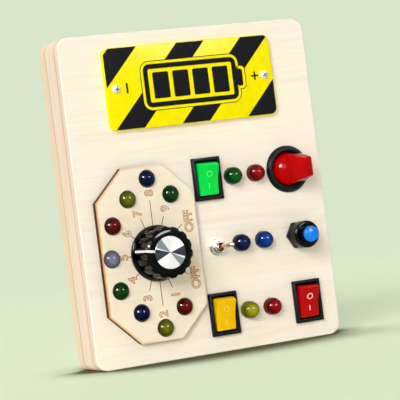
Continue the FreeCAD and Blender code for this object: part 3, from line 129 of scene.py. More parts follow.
# Solid of revolution about the local z axis from (radius, height) points on the axis or off it.
def turned(points, steps=64):
    shape = bmesh.new()
    verts = [shape.verts.new((radius, 0, height)) for radius, height in points]
    edges = [shape.edges.new(pair) for pair in zip(verts, verts[1:])]
    if points[0] == points[-1]:
        bmesh.ops.remove_doubles(shape, verts=verts, dist=1e-9)
    bmesh.ops.spin(shape, geom=shape.verts[:] + shape.edges[:], cent=(0, 0, 0), axis=(0, 0, 1),
                   angle=2 * math.pi, steps=steps, use_merge=True)
    bmesh.ops.remove_doubles(shape, verts=shape.verts, dist=1e-7)
    return shape


# Points of a quarter-round between two angles, in degrees, for a turned outline.
def arcPoints(radius, height, size, start, end, steps=5):
    found = []
    for step in range(steps + 1):
        angle = math.radians(start + (end - start) * step / steps)
        found.append((radius + size * math.cos(angle), height + size * math.sin(angle)))
    return found


# Block with its middle at x, y and its low face at z.
def addBlock(shape, wide, tall, deep, x=0.0, y=0.0, z=0.0, turn=0.0):
    place = (Matrix.Translation((x, y, z + deep / 2)) @ Matrix.Rotation(turn, 4, "Z")
             @ Matrix.Diagonal((wide, tall, deep, 1)))
    return bmesh.ops.create_cube(shape, size=1, matrix=place)["verts"]


# Rounded rectangle that is as thick as given, with its low face at z = 0.
def roundedSlab(wide, tall, deep, cornerRadius, edgeRadius=0.0, edgeSteps=3):
    shape = bmesh.new()
    addBlock(shape, wide, tall, deep)
    upright = [e for e in shape.edges if abs(e.verts[0].co.z - e.verts[1].co.z) > deep / 2]
    bmesh.ops.bevel(shape, geom=upright, offset=cornerRadius, offset_type="OFFSET", segments=8,
                    profile=0.5, affect="EDGES", material=-1)
    if edgeRadius:
        top = [e for e in shape.edges if all(v.co.z > deep - 1e-7 for v in e.verts)]
        bmesh.ops.bevel(shape, geom=top, offset=edgeRadius, offset_type="OFFSET",
                        segments=edgeSteps, profile=0.5, affect="EDGES", material=-1)
    return shape


# Adds one mesh to another.
def addShape(shape, other, place=None):
    if place is not None:
        bmesh.ops.transform(other, matrix=place, verts=other.verts)
    scratch = bpy.data.meshes.new("scratch")
    other.to_mesh(scratch)
    other.free()
    shape.from_mesh(scratch)
    bpy.data.meshes.remove(scratch)


# Text as a mesh: solid letters, or only their outlines as thin round lines.
def letters(words, height, centre, turn=0.0, thick=0.03 * mm, line=0.0, bold=0.0):
    curve = bpy.data.curves.new("letters", "FONT")
    curve.body = words
    curve.align_x = "CENTER"
    text = bpy.data.objects.new("letters", curve)
    bpy.context.scene.collection.objects.link(text)
    bpy.context.view_layer.update()
    scale = height / text.dimensions.y
    curve.size = scale
    curve.offset = bold
    if line:
        curve.fill_mode = "NONE"
        curve.bevel_depth = line
        curve.bevel_resolution = 1
    else:
        curve.extrude = thick / 2
    bpy.context.view_layer.update()
    graph = bpy.context.evaluated_depsgraph_get()
    mesh = bpy.data.meshes.new_from_object(text.evaluated_get(graph))
    shape = bmesh.new()
    shape.from_mesh(mesh)
    bpy.data.objects.remove(text)
    bpy.data.meshes.remove(mesh)
    low = Vector([min(v.co[i] for v in shape.verts) for i in range(3)])
    high = Vector([max(v.co[i] for v in shape.verts) for i in range(3)])
    place = (Matrix.Translation(centre) @ Matrix.Rotation(turn, 4, "Z")
             @ Matrix.Translation(-(low + high) / 2))
    bmesh.ops.transform(shape, matrix=place, verts=shape.verts)
    return shape


# Birch plywood, sanded and clear sealed: pale cream with a faint grain along x, and on its
# cut sides the plies and the two glue lines of the box.
plywoodLook = {
    "face": "#FDF3E1",
    "grain": "#F4E0C8",
    "fibre": "#F9E8D3",
    "frontSide": "#F5DEC8",
    "middleSide": "#F8E6D2",
    "backSide": "#F2DCC0",
    "streak": "#E8C7A4",
    "streaksPerMetre": (160.0, 900.0, 14.0),
    # paler colour for the rounded edges, a painted highlight
    "paintedEdgeHighlight": "#FFF9F0",
    "glue": "#A8713F",
    "grainPitch": 5.0 * mm,
    "fibrePitch": 0.55 * mm,
    "glueLine": 0.34 * mm,
    "plyThick": 1.25 * mm,
    "roughness": 0.48,
}


def plywood(name, look, faceOnly=False):
    material, tree, surface, where = newMaterial(name, Roughness=look["roughness"],
                                                 Specular_IOR_Level=0.05)
    # grain runs along x, so the patterns are drawn out that way
    grainPitch = 1 / look["grainPitch"]
    fibrePitch = 1 / look["fibrePitch"]
    longGrain = addNode(tree, "ShaderNodeMapping", {
        "Vector": where, "Scale": (grainPitch * 0.07, grainPitch * 0.5, grainPitch)})
    bent = addNode(tree, "ShaderNodeTexNoise", {
        "Vector": longGrain.outputs[0], "Scale": 1.0, "Detail": 3.0, "Roughness": 0.5,
        "Distortion": 0.9})
    longFibre = addNode(tree, "ShaderNodeMapping", {
        "Vector": where, "Scale": (fibrePitch * 0.025, fibrePitch * 0.5, fibrePitch)})
    fibre = addNode(tree, "ShaderNodeTexNoise", {
        "Vector": longFibre.outputs[0], "Scale": 1.0, "Detail": 2.0, "Roughness": 0.6})
    grainRamp = addNode(tree, "ShaderNodeMapRange", {
        "Value": bent.outputs["Fac"], "From Min": 0.52, "From Max": 0.75, "To Max": 0.6})
    fibreRamp = addNode(tree, "ShaderNodeMapRange", {
        "Value": fibre.outputs["Fac"], "From Min": 0.42, "From Max": 0.72, "To Max": 0.55})
    grained = addNode(tree, "ShaderNodeMix", {
        "Factor": grainRamp.outputs[0], 6: toLinear(look["face"]), 7: toLinear(look["grain"])},
        data_type="RGBA")
    faced = addNode(tree, "ShaderNodeMix", {
        "Factor": fibreRamp.outputs[0], 6: grained.outputs[2], 7: toLinear(look["fibre"])},
        data_type="RGBA")
    colour = faced.outputs[2]
    if not faceOnly:
        parts = addNode(tree, "ShaderNodeSeparateXYZ", {0: where})
        depth = parts.outputs["Y"]
        # layer tones by depth, from the front to the back
        tones = addNode(tree, "ShaderNodeMapRange", {
            "Value": depth, "From Min": -0.0125, "From Max": 0.0125})
        layers = addNode(tree, "ShaderNodeValToRGB", {"Fac": tones.outputs[0]})
        ramp = layers.color_ramp
        ramp.interpolation = "CONSTANT"
        ramp.elements[0].color = toLinear(look["frontSide"])
        ramp.elements[1].position = (boardPlace["frontSeamY"] + 0.0125) / 0.025
        ramp.elements[1].color = toLinear(look["middleSide"])
        last = ramp.elements.new((boardPlace["backSeamY"] + 0.0125) / 0.025)
        last.color = toLinear(look["backSide"])
        # thin plies inside each layer
        plies = addNode(tree, "ShaderNodeTexWave", {
            "Vector": where, "Scale": 1 / look["plyThick"] / 6.2832 * 3.1416,
            "Distortion": 0.4, "Detail": 2.0, "Detail Scale": 60.0},
            wave_type="BANDS", bands_direction="Y")
        plyRamp = addNode(tree, "ShaderNodeMapRange", {
            "Value": plies.outputs["Fac"], "From Min": 0.0, "From Max": 1.0, "To Max": 0.16})
        plied = addNode(tree, "ShaderNodeMix", {
            "Factor": plyRamp.outputs[0], 6: layers.outputs[0], 7: toLinear(look["glue"])},
            data_type="RGBA")
        # streaks of darker wood that run up the cut sides
        longStreak = addNode(tree, "ShaderNodeMapping", {
            "Vector": where, "Scale": look["streaksPerMetre"]})
        streaks = addNode(tree, "ShaderNodeTexNoise", {
            "Vector": longStreak.outputs[0], "Scale": 1.0, "Detail": 3.0, "Distortion": 0.6})
        streakRamp = addNode(tree, "ShaderNodeMapRange", {
            "Value": streaks.outputs["Fac"], "From Min": 0.47, "From Max": 0.72,
            "To Max": 0.7})
        streaked = addNode(tree, "ShaderNodeMix", {
            "Factor": streakRamp.outputs[0], 6: plied.outputs[2], 7: toLinear(look["streak"])},
            data_type="RGBA")
        side = streaked.outputs[2]
        for seam in (boardPlace["frontSeamY"], boardPlace["backSeamY"]):
            offset = addNode(tree, "ShaderNodeMath", {0: depth, 1: seam}, operation="SUBTRACT")
            away = addNode(tree, "ShaderNodeMath", {0: offset.outputs[0]}, operation="ABSOLUTE")
            near = addNode(tree, "ShaderNodeMapRange", {
                "Value": away.outputs[0], "From Min": look["glueLine"] * 0.4,
                "From Max": look["glueLine"], "To Min": 0.85, "To Max": 0.0})
            lined = addNode(tree, "ShaderNodeMix", {
                "Factor": near.outputs[0], 6: side, 7: toLinear(look["glue"])},
                data_type="RGBA")
            side = lined.outputs[2]
        facing = addNode(tree, "ShaderNodeNewGeometry")
        normal = addNode(tree, "ShaderNodeSeparateXYZ", {0: facing.outputs["Normal"]})
        flat = addNode(tree, "ShaderNodeMath", {0: normal.outputs["Y"]}, operation="ABSOLUTE")
        onFace = addNode(tree, "ShaderNodeMapRange", {
            "Value": flat.outputs[0], "From Min": 0.35, "From Max": 0.8})
        whole = addNode(tree, "ShaderNodeMix", {
            "Factor": onFace.outputs[0], 6: side, 7: colour}, data_type="RGBA")
        # rounded edges are painted paler: a painted highlight where the light catches them
        slant = addNode(tree, "ShaderNodeMath", {0: flat.outputs[0], 1: 0.6},
                        operation="SUBTRACT")
        slanted = addNode(tree, "ShaderNodeMath", {0: slant.outputs[0]},
                          operation="ABSOLUTE")
        edgeHighlightShare = addNode(tree, "ShaderNodeMapRange", {
            "Value": slanted.outputs[0], "From Min": 0.2, "From Max": 0.38,
            "To Min": 0.85, "To Max": 0.0})
        edgeHighlighted = addNode(tree, "ShaderNodeMix", {
            "Factor": edgeHighlightShare.outputs[0], 6: whole.outputs[2],
            7: toLinear(look["paintedEdgeHighlight"])}, data_type="RGBA")
        colour = edgeHighlighted.outputs[2]
    tree.links.new(colour, surface.inputs["Base Color"])
    bump = addNode(tree, "ShaderNodeBump", {
        "Height": fibre.outputs["Fac"], "Strength": 0.12, "Distance": 0.05 * mm})
    tree.links.new(bump.outputs[0], surface.inputs["Normal"])
    return material


# Plywood cut by laser: its sides are charred dark brown, and the rim is scorched tan, most
# of all along the left, where the smoke was drawn.
dialWoodLook = {
    "tones": {"face": "#FBEDD4", "grain": "#F2DFBF", "fibre": "#F6E5C8"},
    "char": "#5E3210",
    "charDark": "#341A06",
    "scorch": "#DC9F5C",
    "scorchWide": 1.5 * mm,
    "smokeLeft": 1.0,
    "smokeRight": 0.06,
    "middle": (-0.0325, 0.0525),
    "halfWide": 25.9 * mm,
    "halfTall": 42.35 * mm,
    "corner": 15.0 * mm,
}


def charredPlywood(look):
    material = plywood("birch_plywood_laser_cut", plywoodLook | look["tones"], faceOnly=True)
    tree = material.node_tree
    surface = tree.nodes["Principled BSDF"]
    wood = surface.inputs["Base Color"].links[0].from_socket
    where = addNode(tree, "ShaderNodeTexCoord").outputs["Object"]
    parts = addNode(tree, "ShaderNodeSeparateXYZ", {0: where})
    # distance to the three kinds of side of the octagon, smallest first
    spans = []
    for axis, middle in (("X", look["middle"][0]), ("Z", look["middle"][1])):
        shifted = addNode(tree, "ShaderNodeMath", {0: parts.outputs[axis], 1: middle},
                          operation="SUBTRACT")
        spans.append(addNode(tree, "ShaderNodeMath", {0: shifted.outputs[0]},
                             operation="ABSOLUTE").outputs[0])
    wideGap = addNode(tree, "ShaderNodeMath", {0: look["halfWide"], 1: spans[0]},
                      operation="SUBTRACT").outputs[0]
    tallGap = addNode(tree, "ShaderNodeMath", {0: look["halfTall"], 1: spans[1]},
                      operation="SUBTRACT").outputs[0]
    both = addNode(tree, "ShaderNodeMath", {0: spans[0], 1: spans[1]}, operation="ADD")
    slant = addNode(tree, "ShaderNodeMath", {
        0: look["halfWide"] + look["halfTall"] - look["corner"], 1: both.outputs[0]},
        operation="SUBTRACT")
    slantGap = addNode(tree, "ShaderNodeMath", {0: slant.outputs[0], 1: math.sqrt(0.5)},
                       operation="MULTIPLY").outputs[0]
    first = addNode(tree, "ShaderNodeMath", {0: wideGap, 1: tallGap}, operation="MINIMUM")
    least = addNode(tree, "ShaderNodeMath", {0: first.outputs[0], 1: slantGap},
                    operation="MINIMUM")
    uneven = addNode(tree, "ShaderNodeTexNoise", {
        "Vector": where, "Scale": 420.0, "Detail": 3.0, "Roughness": 0.6})
    ragged = addNode(tree, "ShaderNodeMapRange", {
        "Value": uneven.outputs["Fac"], "To Min": -0.35 * mm, "To Max": 0.35 * mm})
    moved = addNode(tree, "ShaderNodeMath", {0: least.outputs[0], 1: ragged.outputs[0]},
                    operation="ADD")
    rim = addNode(tree, "ShaderNodeMapRange", {
        "Value": moved.outputs[0], "From Min": 0.0, "From Max": look["scorchWide"],
        "To Min": 1.0, "To Max": 0.0}, interpolation_type="SMOOTHSTEP")
    smoke = addNode(tree, "ShaderNodeMapRange", {
        "Value": parts.outputs["X"], "From Min": look["middle"][0] - look["halfWide"] * 0.8,
        "From Max": look["middle"][0] + look["halfWide"] * 0.2,
        "To Min": look["smokeLeft"], "To Max": look["smokeRight"]})
    rimShare = addNode(tree, "ShaderNodeMath", {0: rim.outputs[0], 1: smoke.outputs[0]},
                       operation="MULTIPLY")
    rimmed = addNode(tree, "ShaderNodeMix", {
        "Factor": rimShare.outputs[0], 6: wood, 7: toLinear(look["scorch"])}, data_type="RGBA")
    streaks = addNode(tree, "ShaderNodeMapping", {"Vector": where, "Scale": (900, 60, 900)})
    soot = addNode(tree, "ShaderNodeTexNoise", {
        "Vector": streaks.outputs[0], "Scale": 1.0, "Detail": 3.0})
    charred = addNode(tree, "ShaderNodeMix", {
        "Factor": soot.outputs["Fac"], 6: toLinear(look["char"]),
        7: toLinear(look["charDark"])}, data_type="RGBA")
    facing = addNode(tree, "ShaderNodeNewGeometry")
    normal = addNode(tree, "ShaderNodeSeparateXYZ", {0: facing.outputs["Normal"]})
    flat = addNode(tree, "ShaderNodeMath", {0: normal.outputs["Y"]}, operation="ABSOLUTE")
    onFace = addNode(tree, "ShaderNodeMath", {0: flat.outputs[0], 1: 0.5},
                     operation="GREATER_THAN")
    whole = addNode(tree, "ShaderNodeMix", {
        "Factor": onFace.outputs[0], 6: charred.outputs[2], 7: rimmed.outputs[2]},
        data_type="RGBA")
    tree.links.new(whole.outputs[2], surface.inputs["Base Color"])
    return material


# Laser engraving: shallow burnt wood, patchy where the beam dwelt.
def burntWood(name, pale, dark):
    material, tree, surface, where = newMaterial(name, Roughness=0.75)
    patches = addNode(tree, "ShaderNodeTexNoise", {
        "Vector": where, "Scale": 900.0, "Detail": 3.0, "Roughness": 0.65})
    tone = addNode(tree, "ShaderNodeMapRange", {
        "Value": patches.outputs["Fac"], "From Min": 0.35, "From Max": 0.68})
    mixed = addNode(tree, "ShaderNodeMix", {
        "Factor": tone.outputs[0], 6: toLinear(pale), 7: toLinear(dark)},
        data_type="RGBA")
    tree.links.new(mixed.outputs[2], surface.inputs["Base Color"])
    return material


# Injection-moulded plastic: even colour, fine orange peel, a little uneven gloss.
def mouldedPlastic(name, colour, roughness, peel=0.06, grit=0.35 * mm, uneven=0.05,
                   specular=0.1, second=None, **shader):
    material, tree, surface, where = newMaterial(name, Specular_IOR_Level=specular, **shader)
    skin = addNode(tree, "ShaderNodeTexNoise", {
        "Vector": where, "Scale": 1 / grit, "Detail": 2.0, "Roughness": 0.5})
    cloud = addNode(tree, "ShaderNodeTexNoise", {
        "Vector": where, "Scale": 0.12 / grit, "Detail": 2.0})
    gloss = addNode(tree, "ShaderNodeMapRange", {
        "Value": cloud.outputs["Fac"], "From Min": 0.3, "From Max": 0.7,
        "To Min": max(0.02, roughness - uneven), "To Max": roughness + uneven})
    base = toLinear(colour)
    dull = toLinear(second) if second else tuple(c * 0.93 for c in base[:3]) + (1.0,)
    tone = addNode(tree, "ShaderNodeMapRange", {
        "Value": cloud.outputs["Fac"], "From Min": 0.3, "From Max": 0.7})
    tint = addNode(tree, "ShaderNodeMix", {
        "Factor": tone.outputs[0], 6: base, 7: dull}, data_type="RGBA")
    bump = addNode(tree, "ShaderNodeBump", {
        "Height": skin.outputs["Fac"], "Strength": peel, "Distance": 0.02 * mm})
    tree.links.new(tint.outputs[2], surface.inputs["Base Color"])
    tree.links.new(gloss.outputs[0], surface.inputs["Roughness"])
    tree.links.new(bump.outputs[0], surface.inputs["Normal"])
    return material


# Epoxy lamp lens, cast and tinted: a hard gloss over deep colour, painted darkest at the rim
# as painted shade and paler on a thin ring where the dome meets its wall as painted light.
lensLook = {
    "roughness": 0.07,
    "ior": 1.53,
    "specular": 0.09,
    "cloudsPerMetre": 260.0,
    # tone by slope: the dark rim is painted shade and the pale ring is painted light
    "rings": [(0.0, 0.25), (0.4, 0.05), (0.52, 0.5), (0.62, 0.3), (0.95, 1.0)],  # slope, tone
}


def tintedLens(name, colour, deep, look=lensLook):
    material, tree, surface, where = newMaterial(
        name, Roughness=look["roughness"], IOR=look["ior"],
        Specular_IOR_Level=look["specular"])
    cloud = addNode(tree, "ShaderNodeTexNoise", {
        "Vector": where, "Scale": look["cloudsPerMetre"], "Detail": 1.0})
    facing = addNode(tree, "ShaderNodeNewGeometry")
    normal = addNode(tree, "ShaderNodeSeparateXYZ", {0: facing.outputs["Normal"]})
    steep = addNode(tree, "ShaderNodeMath", {0: normal.outputs["Y"]}, operation="ABSOLUTE")
    # painted shade at the rim and painted light on a ring, by how steeply the surface faces front
    rings = addNode(tree, "ShaderNodeValToRGB", {"Fac": steep.outputs[0]})
    ramp = rings.color_ramp
    for place, shade in look["rings"]:
        stop = ramp.elements.new(place)
        stop.color = (shade, shade, shade, 1)
    for stop in list(ramp.elements):
        if stop.position in (0.0, 1.0) and len(ramp.elements) > len(look["rings"]):
            ramp.elements.remove(stop)
    haze = addNode(tree, "ShaderNodeMapRange", {
        "Value": cloud.outputs["Fac"], "From Min": 0.3, "From Max": 0.7, "To Min": 0.75})
    share = addNode(tree, "ShaderNodeMath", {0: rings.outputs[0], 1: haze.outputs[0]},
                    operation="MULTIPLY")
    tint = addNode(tree, "ShaderNodeMix", {
        "Factor": share.outputs[0], 6: toLinear(deep), 7: toLinear(colour)},
        data_type="RGBA")
    tree.links.new(tint.outputs[2], surface.inputs["Base Color"])
    return material


# Plated or bare metal with fine tool marks.
def platedMetal(name, colour, roughness, scratch=0.25 * mm, drawnOut=(1, 1, 1), strength=0.08,
                **shader):
    material, tree, surface, where = newMaterial(name, **({"Metallic": 1.0} | shader))
    stretched = addNode(tree, "ShaderNodeMapping", {
        "Vector": where, "Scale": tuple(part / scratch for part in drawnOut)})
    marks = addNode(tree, "ShaderNodeTexNoise", {
        "Vector": stretched.outputs[0], "Scale": 1.0, "Detail": 3.0, "Roughness": 0.6})
    gloss = addNode(tree, "ShaderNodeMapRange", {
        "Value": marks.outputs["Fac"], "From Min": 0.3, "From Max": 0.7,
        "To Min": roughness * 0.75, "To Max": roughness * 1.3})
    base = toLinear(colour)
    dull = tuple(c * 0.82 for c in base[:3]) + (1.0,)
    tint = addNode(tree, "ShaderNodeMix", {
        "Factor": marks.outputs["Fac"], 6: base, 7: dull}, data_type="RGBA")
    bump = addNode(tree, "ShaderNodeBump", {
        "Height": marks.outputs["Fac"], "Strength": strength, "Distance": 0.01 * mm})
    tree.links.new(tint.outputs[2], surface.inputs["Base Color"])
    tree.links.new(gloss.outputs[0], surface.inputs["Roughness"])
    tree.links.new(bump.outputs[0], surface.inputs["Normal"])
    return material


# Aluminium faced on a lathe: its fine rings throw light back in bright and dark wedges,
# which are drawn here at fixed angles, because softly lit rings alone hardly show them.
facedLook = {
    "metallic": 0.1,
    "roughness": 0.3,
    "drawnOut": 0.85,
    "specular": 0.04,
    "streaks": 90.0,
    "streakTone": "#5A5E64",
    "bright": "#FFFFFF",
    "middling": "#8E969C",
    "dark": "#1C2126",
    "wedges": [
        (-180, "dark"), (-156, "dark"), (-154, "bright"), (-58, "bright"),
        (-56, "middling"), (-29, "middling"), (-27, "bright"), (-22, "bright"),
        (-19, "dark"), (18, "dark"), (21, "bright"), (119, "bright"),
        (122, "middling"), (155, "middling"), (157, "bright"), (161, "bright"),
        (163, "dark"),
    ],
}


def facedAluminium(look):
    material, tree, surface, where = newMaterial(
        "aluminium_lathe_faced", Metallic=look["metallic"], Roughness=look["roughness"],
        Anisotropic=look["drawnOut"], Specular_IOR_Level=look["specular"])
    axis = nodeMiddle("knob_disc")
    centred = addNode(tree, "ShaderNodeMapping", {
        "Vector": where, "Rotation": (math.radians(-90), 0, 0),
        "Location": (-axis.x, -axis.z, 0)})
    rings = addNode(tree, "ShaderNodeTexWave", {
        "Vector": centred.outputs[0], "Scale": 620.0, "Distortion": 0.3, "Detail": 2.0},
        wave_type="RINGS", rings_direction="Z")
    sweep = addNode(tree, "ShaderNodeTexGradient", {"Vector": centred.outputs[0]},
                    gradient_type="RADIAL")
    wedges = addNode(tree, "ShaderNodeValToRGB", {"Fac": sweep.outputs["Fac"]})
    ramp = wedges.color_ramp
    ramp.elements.remove(ramp.elements[1])
    for step, (angle, tone) in enumerate(look["wedges"]):
        place = angle / 360 + 0.5
        stop = ramp.elements[0] if step == 0 else ramp.elements.new(place)
        stop.position = place
        stop.color = toLinear(look[tone])
    # streaks that fan out from the middle, and the tool's rings across them
    fan = addNode(tree, "ShaderNodeMath", {0: sweep.outputs["Fac"], 1: look["streaks"]},
                  operation="MULTIPLY")
    streaks = addNode(tree, "ShaderNodeTexNoise", {"W": fan.outputs[0], "Scale": 1.0,
                                                   "Detail": 2.0}, noise_dimensions="1D")
    streaked = addNode(tree, "ShaderNodeMapRange", {
        "Value": streaks.outputs["Fac"], "From Min": 0.4, "From Max": 0.75, "To Max": 0.3})
    ringed = addNode(tree, "ShaderNodeMath", {0: rings.outputs["Fac"], 1: 0.06,
                                              2: streaked.outputs[0]},
                     operation="MULTIPLY_ADD")
    tint = addNode(tree, "ShaderNodeMix", {
        "Factor": ringed.outputs[0], 6: wedges.outputs[0], 7: toLinear(look["streakTone"])},
        data_type="RGBA")
    around = addNode(tree, "ShaderNodeTangent", direction_type="RADIAL", axis="Y")
    bump = addNode(tree, "ShaderNodeBump", {
        "Height": rings.outputs["Fac"], "Strength": 0.04, "Distance": 0.01 * mm})
    tree.links.new(tint.outputs[2], surface.inputs["Base Color"])
    tree.links.new(around.outputs[0], surface.inputs["Tangent"])
    tree.links.new(bump.outputs[0], surface.inputs["Normal"])
    return material


caseWood = plywood("birch_plywood_sealed", plywoodLook)
dialWood = charredPlywood(dialWoodLook)
engraving = burntWood("laser_engraving_burnt", "#8A4E18", "#3E1C04")
scorch = burntWood("laser_engraving_scorched", "#F6D6A6", "#E8B474")
labelYellow = mouldedPlastic("printed_sheet_yellow", "#FFF004", 0.18, peel=0.02,
                             specular=0.03)
labelBlack = mouldedPlastic("printed_ink_black", "#18161B", 0.22, peel=0.02,
                            specular=0.03)
blackSatin = mouldedPlastic("moulded_nylon_black", "#12161A", 0.34, peel=0.15,
                            grit=0.22 * mm, specular=0.06)
blackGloss = mouldedPlastic("moulded_phenolic_black", "#020203", 0.08, uneven=0.03,
                            specular=0.1)
whiteLine = mouldedPlastic("filled_line_white", "#F8F8F6", 0.5)
greenButton = mouldedPlastic("moulded_abs_green", "#04E852", 0.2)
yellowButton = mouldedPlastic("moulded_abs_yellow", "#FFC806", 0.2)
redButton = mouldedPlastic("moulded_abs_red", "#BE080C", 0.2)
redHandle = mouldedPlastic("moulded_acrylic_red", "#A80000", 0.08, uneven=0.03, specular=0.07,
                           peel=0.02, grit=0.9 * mm, second="#BE0006")
blueCap = mouldedPlastic("moulded_abs_blue", "#0668EA", 0.16, specular=0.12,
                         grit=0.12 * mm, second="#0E96F0")
# darker navy for the cap's lower side: painted shade where the collar shades it
capShadeNavy = mouldedPlastic("blue_cap_painted_shade_navy", "#081034", 0.3)
greenMark = mouldedPlastic("pad_print_pale_green", "#7BF59A", 0.4)
yellowMark = mouldedPlastic("pad_print_pale_yellow", "#FFDC7A", 0.4)
redMark = mouldedPlastic("pad_print_white", "#FFEDE8", 0.4)
# dark colour for the cross recesses of the screws: painted shade
slotShade = mouldedPlastic("recess_painted_shade_dark", "#40362C", 0.6)
screwSatin = platedMetal("nickel_plated_satin", "#F6EEE2", 0.35, Metallic=0.2,
                         Specular_IOR_Level=0.2)
nickel = platedMetal("nickel_plated_brass", "#C9C6C2", 0.22)
# the thread is given a darker nickel than the nut and washer
threadNickel = platedMetal("nickel_plated_thread_dark", "#A39D97", 0.3)
# the lever's peach tint is a painted reflection of warm surroundings
leverNickelWarmReflection = platedMetal("nickel_plated_lever_warm_reflection", "#E2C6B0", 0.2)
zinc = platedMetal("zinc_plated_steel", "#D8D9D8", 0.3)
tin = platedMetal("tinned_steel", "#C9CACB", 0.3, drawnOut=(1, 0.1, 1))
brass = platedMetal("turned_brass", "#D8B15A", 0.25, drawnOut=(1, 4, 1))
blackSteel = platedMetal("blackened_steel", "#2B2B2D", 0.4)
springWire = platedMetal("drawn_spring_steel", "#A9AAAC", 0.28)
cellSleeve = platedMetal("printed_cell_sleeve", "#6E7480", 0.35, drawnOut=(0.1, 1, 1))
redWire = mouldedPlastic("pvc_insulation_red", "#C3150E", 0.4)
blackWire = mouldedPlastic("pvc_insulation_black", "#151515", 0.4)
faced = facedAluminium(facedLook)
# the lenses over the dial are smoked, the others are clearer
smokedRed = tintedLens("epoxy_lens_smoked_red", "#66060A", "#1C0103")
smokedGreen = tintedLens("epoxy_lens_smoked_green", "#04420E", "#011204")
smokedNavy = tintedLens("epoxy_lens_smoked_navy", "#070F3E", "#02030C")
smokedOlive = tintedLens("epoxy_lens_smoked_olive", "#6E6E0E", "#1F2003")
smokedGrey = tintedLens("epoxy_lens_smoked_grey", "#7F8296", "#3A3C4A")
clearRed = tintedLens("epoxy_lens_red", "#9A0708", "#3A0203")
clearGreen = tintedLens("epoxy_lens_green", "#0A5E18", "#022007")
clearNavy = tintedLens("epoxy_lens_navy", "#101A4C", "#03050F")
clearBlue = tintedLens("epoxy_lens_blue", "#0F42A0", "#041038")
clearOlive = tintedLens("epoxy_lens_olive", "#A9A210", "#4A4A06")
print("materials ready")

# Pieces that keep their CAD shape.
nodeFinish = {
    "front_panel": caseWood, "middle_frame": caseWood, "back_panel": caseWood,
    "battery_door": caseWood, "dial_plate": dialWood, "back_screws": zinc,
    "door_screws": zinc, "lamp_leads": tin, "rotary_contacts": tin, "rocker_contacts": tin,
    "toggle_contacts": tin, "paddle_contacts": tin, "push_contacts": tin,
    "battery_contacts": tin, "rotary_body": blackSatin, "toggle_body": blackSatin,
    "battery_box": blackSatin, "rotary_bush": nickel, "rotary_nut": nickel,
    "rotary_spindle": nickel, "knob_insert": brass, "knob_set_screw": blackSteel,
    "push_spring": springWire, "batteries": cellSleeve, "wires_red": redWire,
    "wires_black": blackWire,
}
for name, finish in nodeFinish.items():
    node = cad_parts[name]
    node.data.materials.clear()
    node.data.materials.append(finish)


lampLook = {
    "radius": 4.25 * mm,
    "proud": 6.6 * mm,
    "rimRadius": 4.75 * mm,
    "rimThick": 1.2 * mm,
    "sheetThick": 5.0 * mm,
    "steps": 48,
}
lampTints = {
    "lamp_dial_1": smokedRed, "lamp_dial_2": smokedOlive, "lamp_dial_3": smokedNavy,
    "lamp_dial_4": smokedGreen, "lamp_dial_5": smokedGrey, "lamp_dial_6": smokedRed,
    "lamp_dial_7": smokedOlive, "lamp_dial_8": smokedNavy, "lamp_dial_9": smokedGreen,
    "lamp_green": clearGreen, "lamp_red_high": clearRed, "lamp_blue_left": clearNavy,
    "lamp_blue_right": clearBlue, "lamp_yellow": clearOlive, "lamp_red_low": clearRed,
}


def makeLamp(node, tint, look):
    middle = nodeMiddle(node)
    radius = look["radius"]
    foot = -look["sheetThick"] - look["rimThick"]
    soft = 0.15 * mm
    outline = [(0.0, foot), (look["rimRadius"] - soft, foot),
               (look["rimRadius"], foot + soft), (look["rimRadius"], -look["sheetThick"]),
               (radius, -look["sheetThick"])]
    outline += arcPoints(0.0, look["proud"] - radius, radius, 0, 90, 16)
    outline[-1] = (0.0, look["proud"])
    shape = turned(outline, look["steps"])
    piece = finishPiece(shape, node + "_lens", "board", [tint], standAt(middle.x, middle.z))
    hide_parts(node)


for node, tint in lampTints.items():
    makeLamp(node, tint, lampLook)
print("lamps ready")

labelLook = {
    "wide": 90.0 * mm,
    "tall": 40.0 * mm,
    "thick": 2.6 * mm,
    "corner": 3.5 * mm,
    "edge": 0.3 * mm,
    "inkThick": 0.04 * mm,
    "stripes": [-60.4 * mm, -24.0 * mm, 11.0 * mm, 47.0 * mm],
    "stripeWide": 15.0 * mm,
    "stripeLean": 0.935,
    "haloWide": 1.3 * mm,
    "gauge": (50.0 * mm, 21.0 * mm, 2.4 * mm),
    "gaugeBars": 4,
    "poleMarks": [(-34.2, 0.9, 5.0), (34.8, 0.8, 4.1), (34.8, 4.1, 0.8)],
    "screwX": 40.0 * mm,
}


# Flat sheet of ink cut to the label's rounded outline and kept between two slanted lines.
def stripe(look, start, height):
    shape = roundedSlab(look["wide"] - 2 * look["edge"], look["tall"] - 2 * look["edge"],
                        look["inkThick"], look["corner"] - look["edge"])
    slope = Vector((1, -look["stripeLean"], 0)).normalized()
    for x, keep in ((start, 1), (start + look["stripeWide"], -1)):
        bmesh.ops.bisect_plane(shape, geom=shape.verts[:] + shape.edges[:] + shape.faces[:],
                               dist=1e-8, plane_co=(x, 0, 0), plane_no=slope * keep,
                               clear_inner=True, clear_outer=False)
        rim = [e for e in shape.edges if e.is_boundary]
        if rim:
            bmesh.ops.holes_fill(shape, edges=rim, sides=0)
    bmesh.ops.translate(shape, verts=shape.verts, vec=(0, 0, height))
    return shape


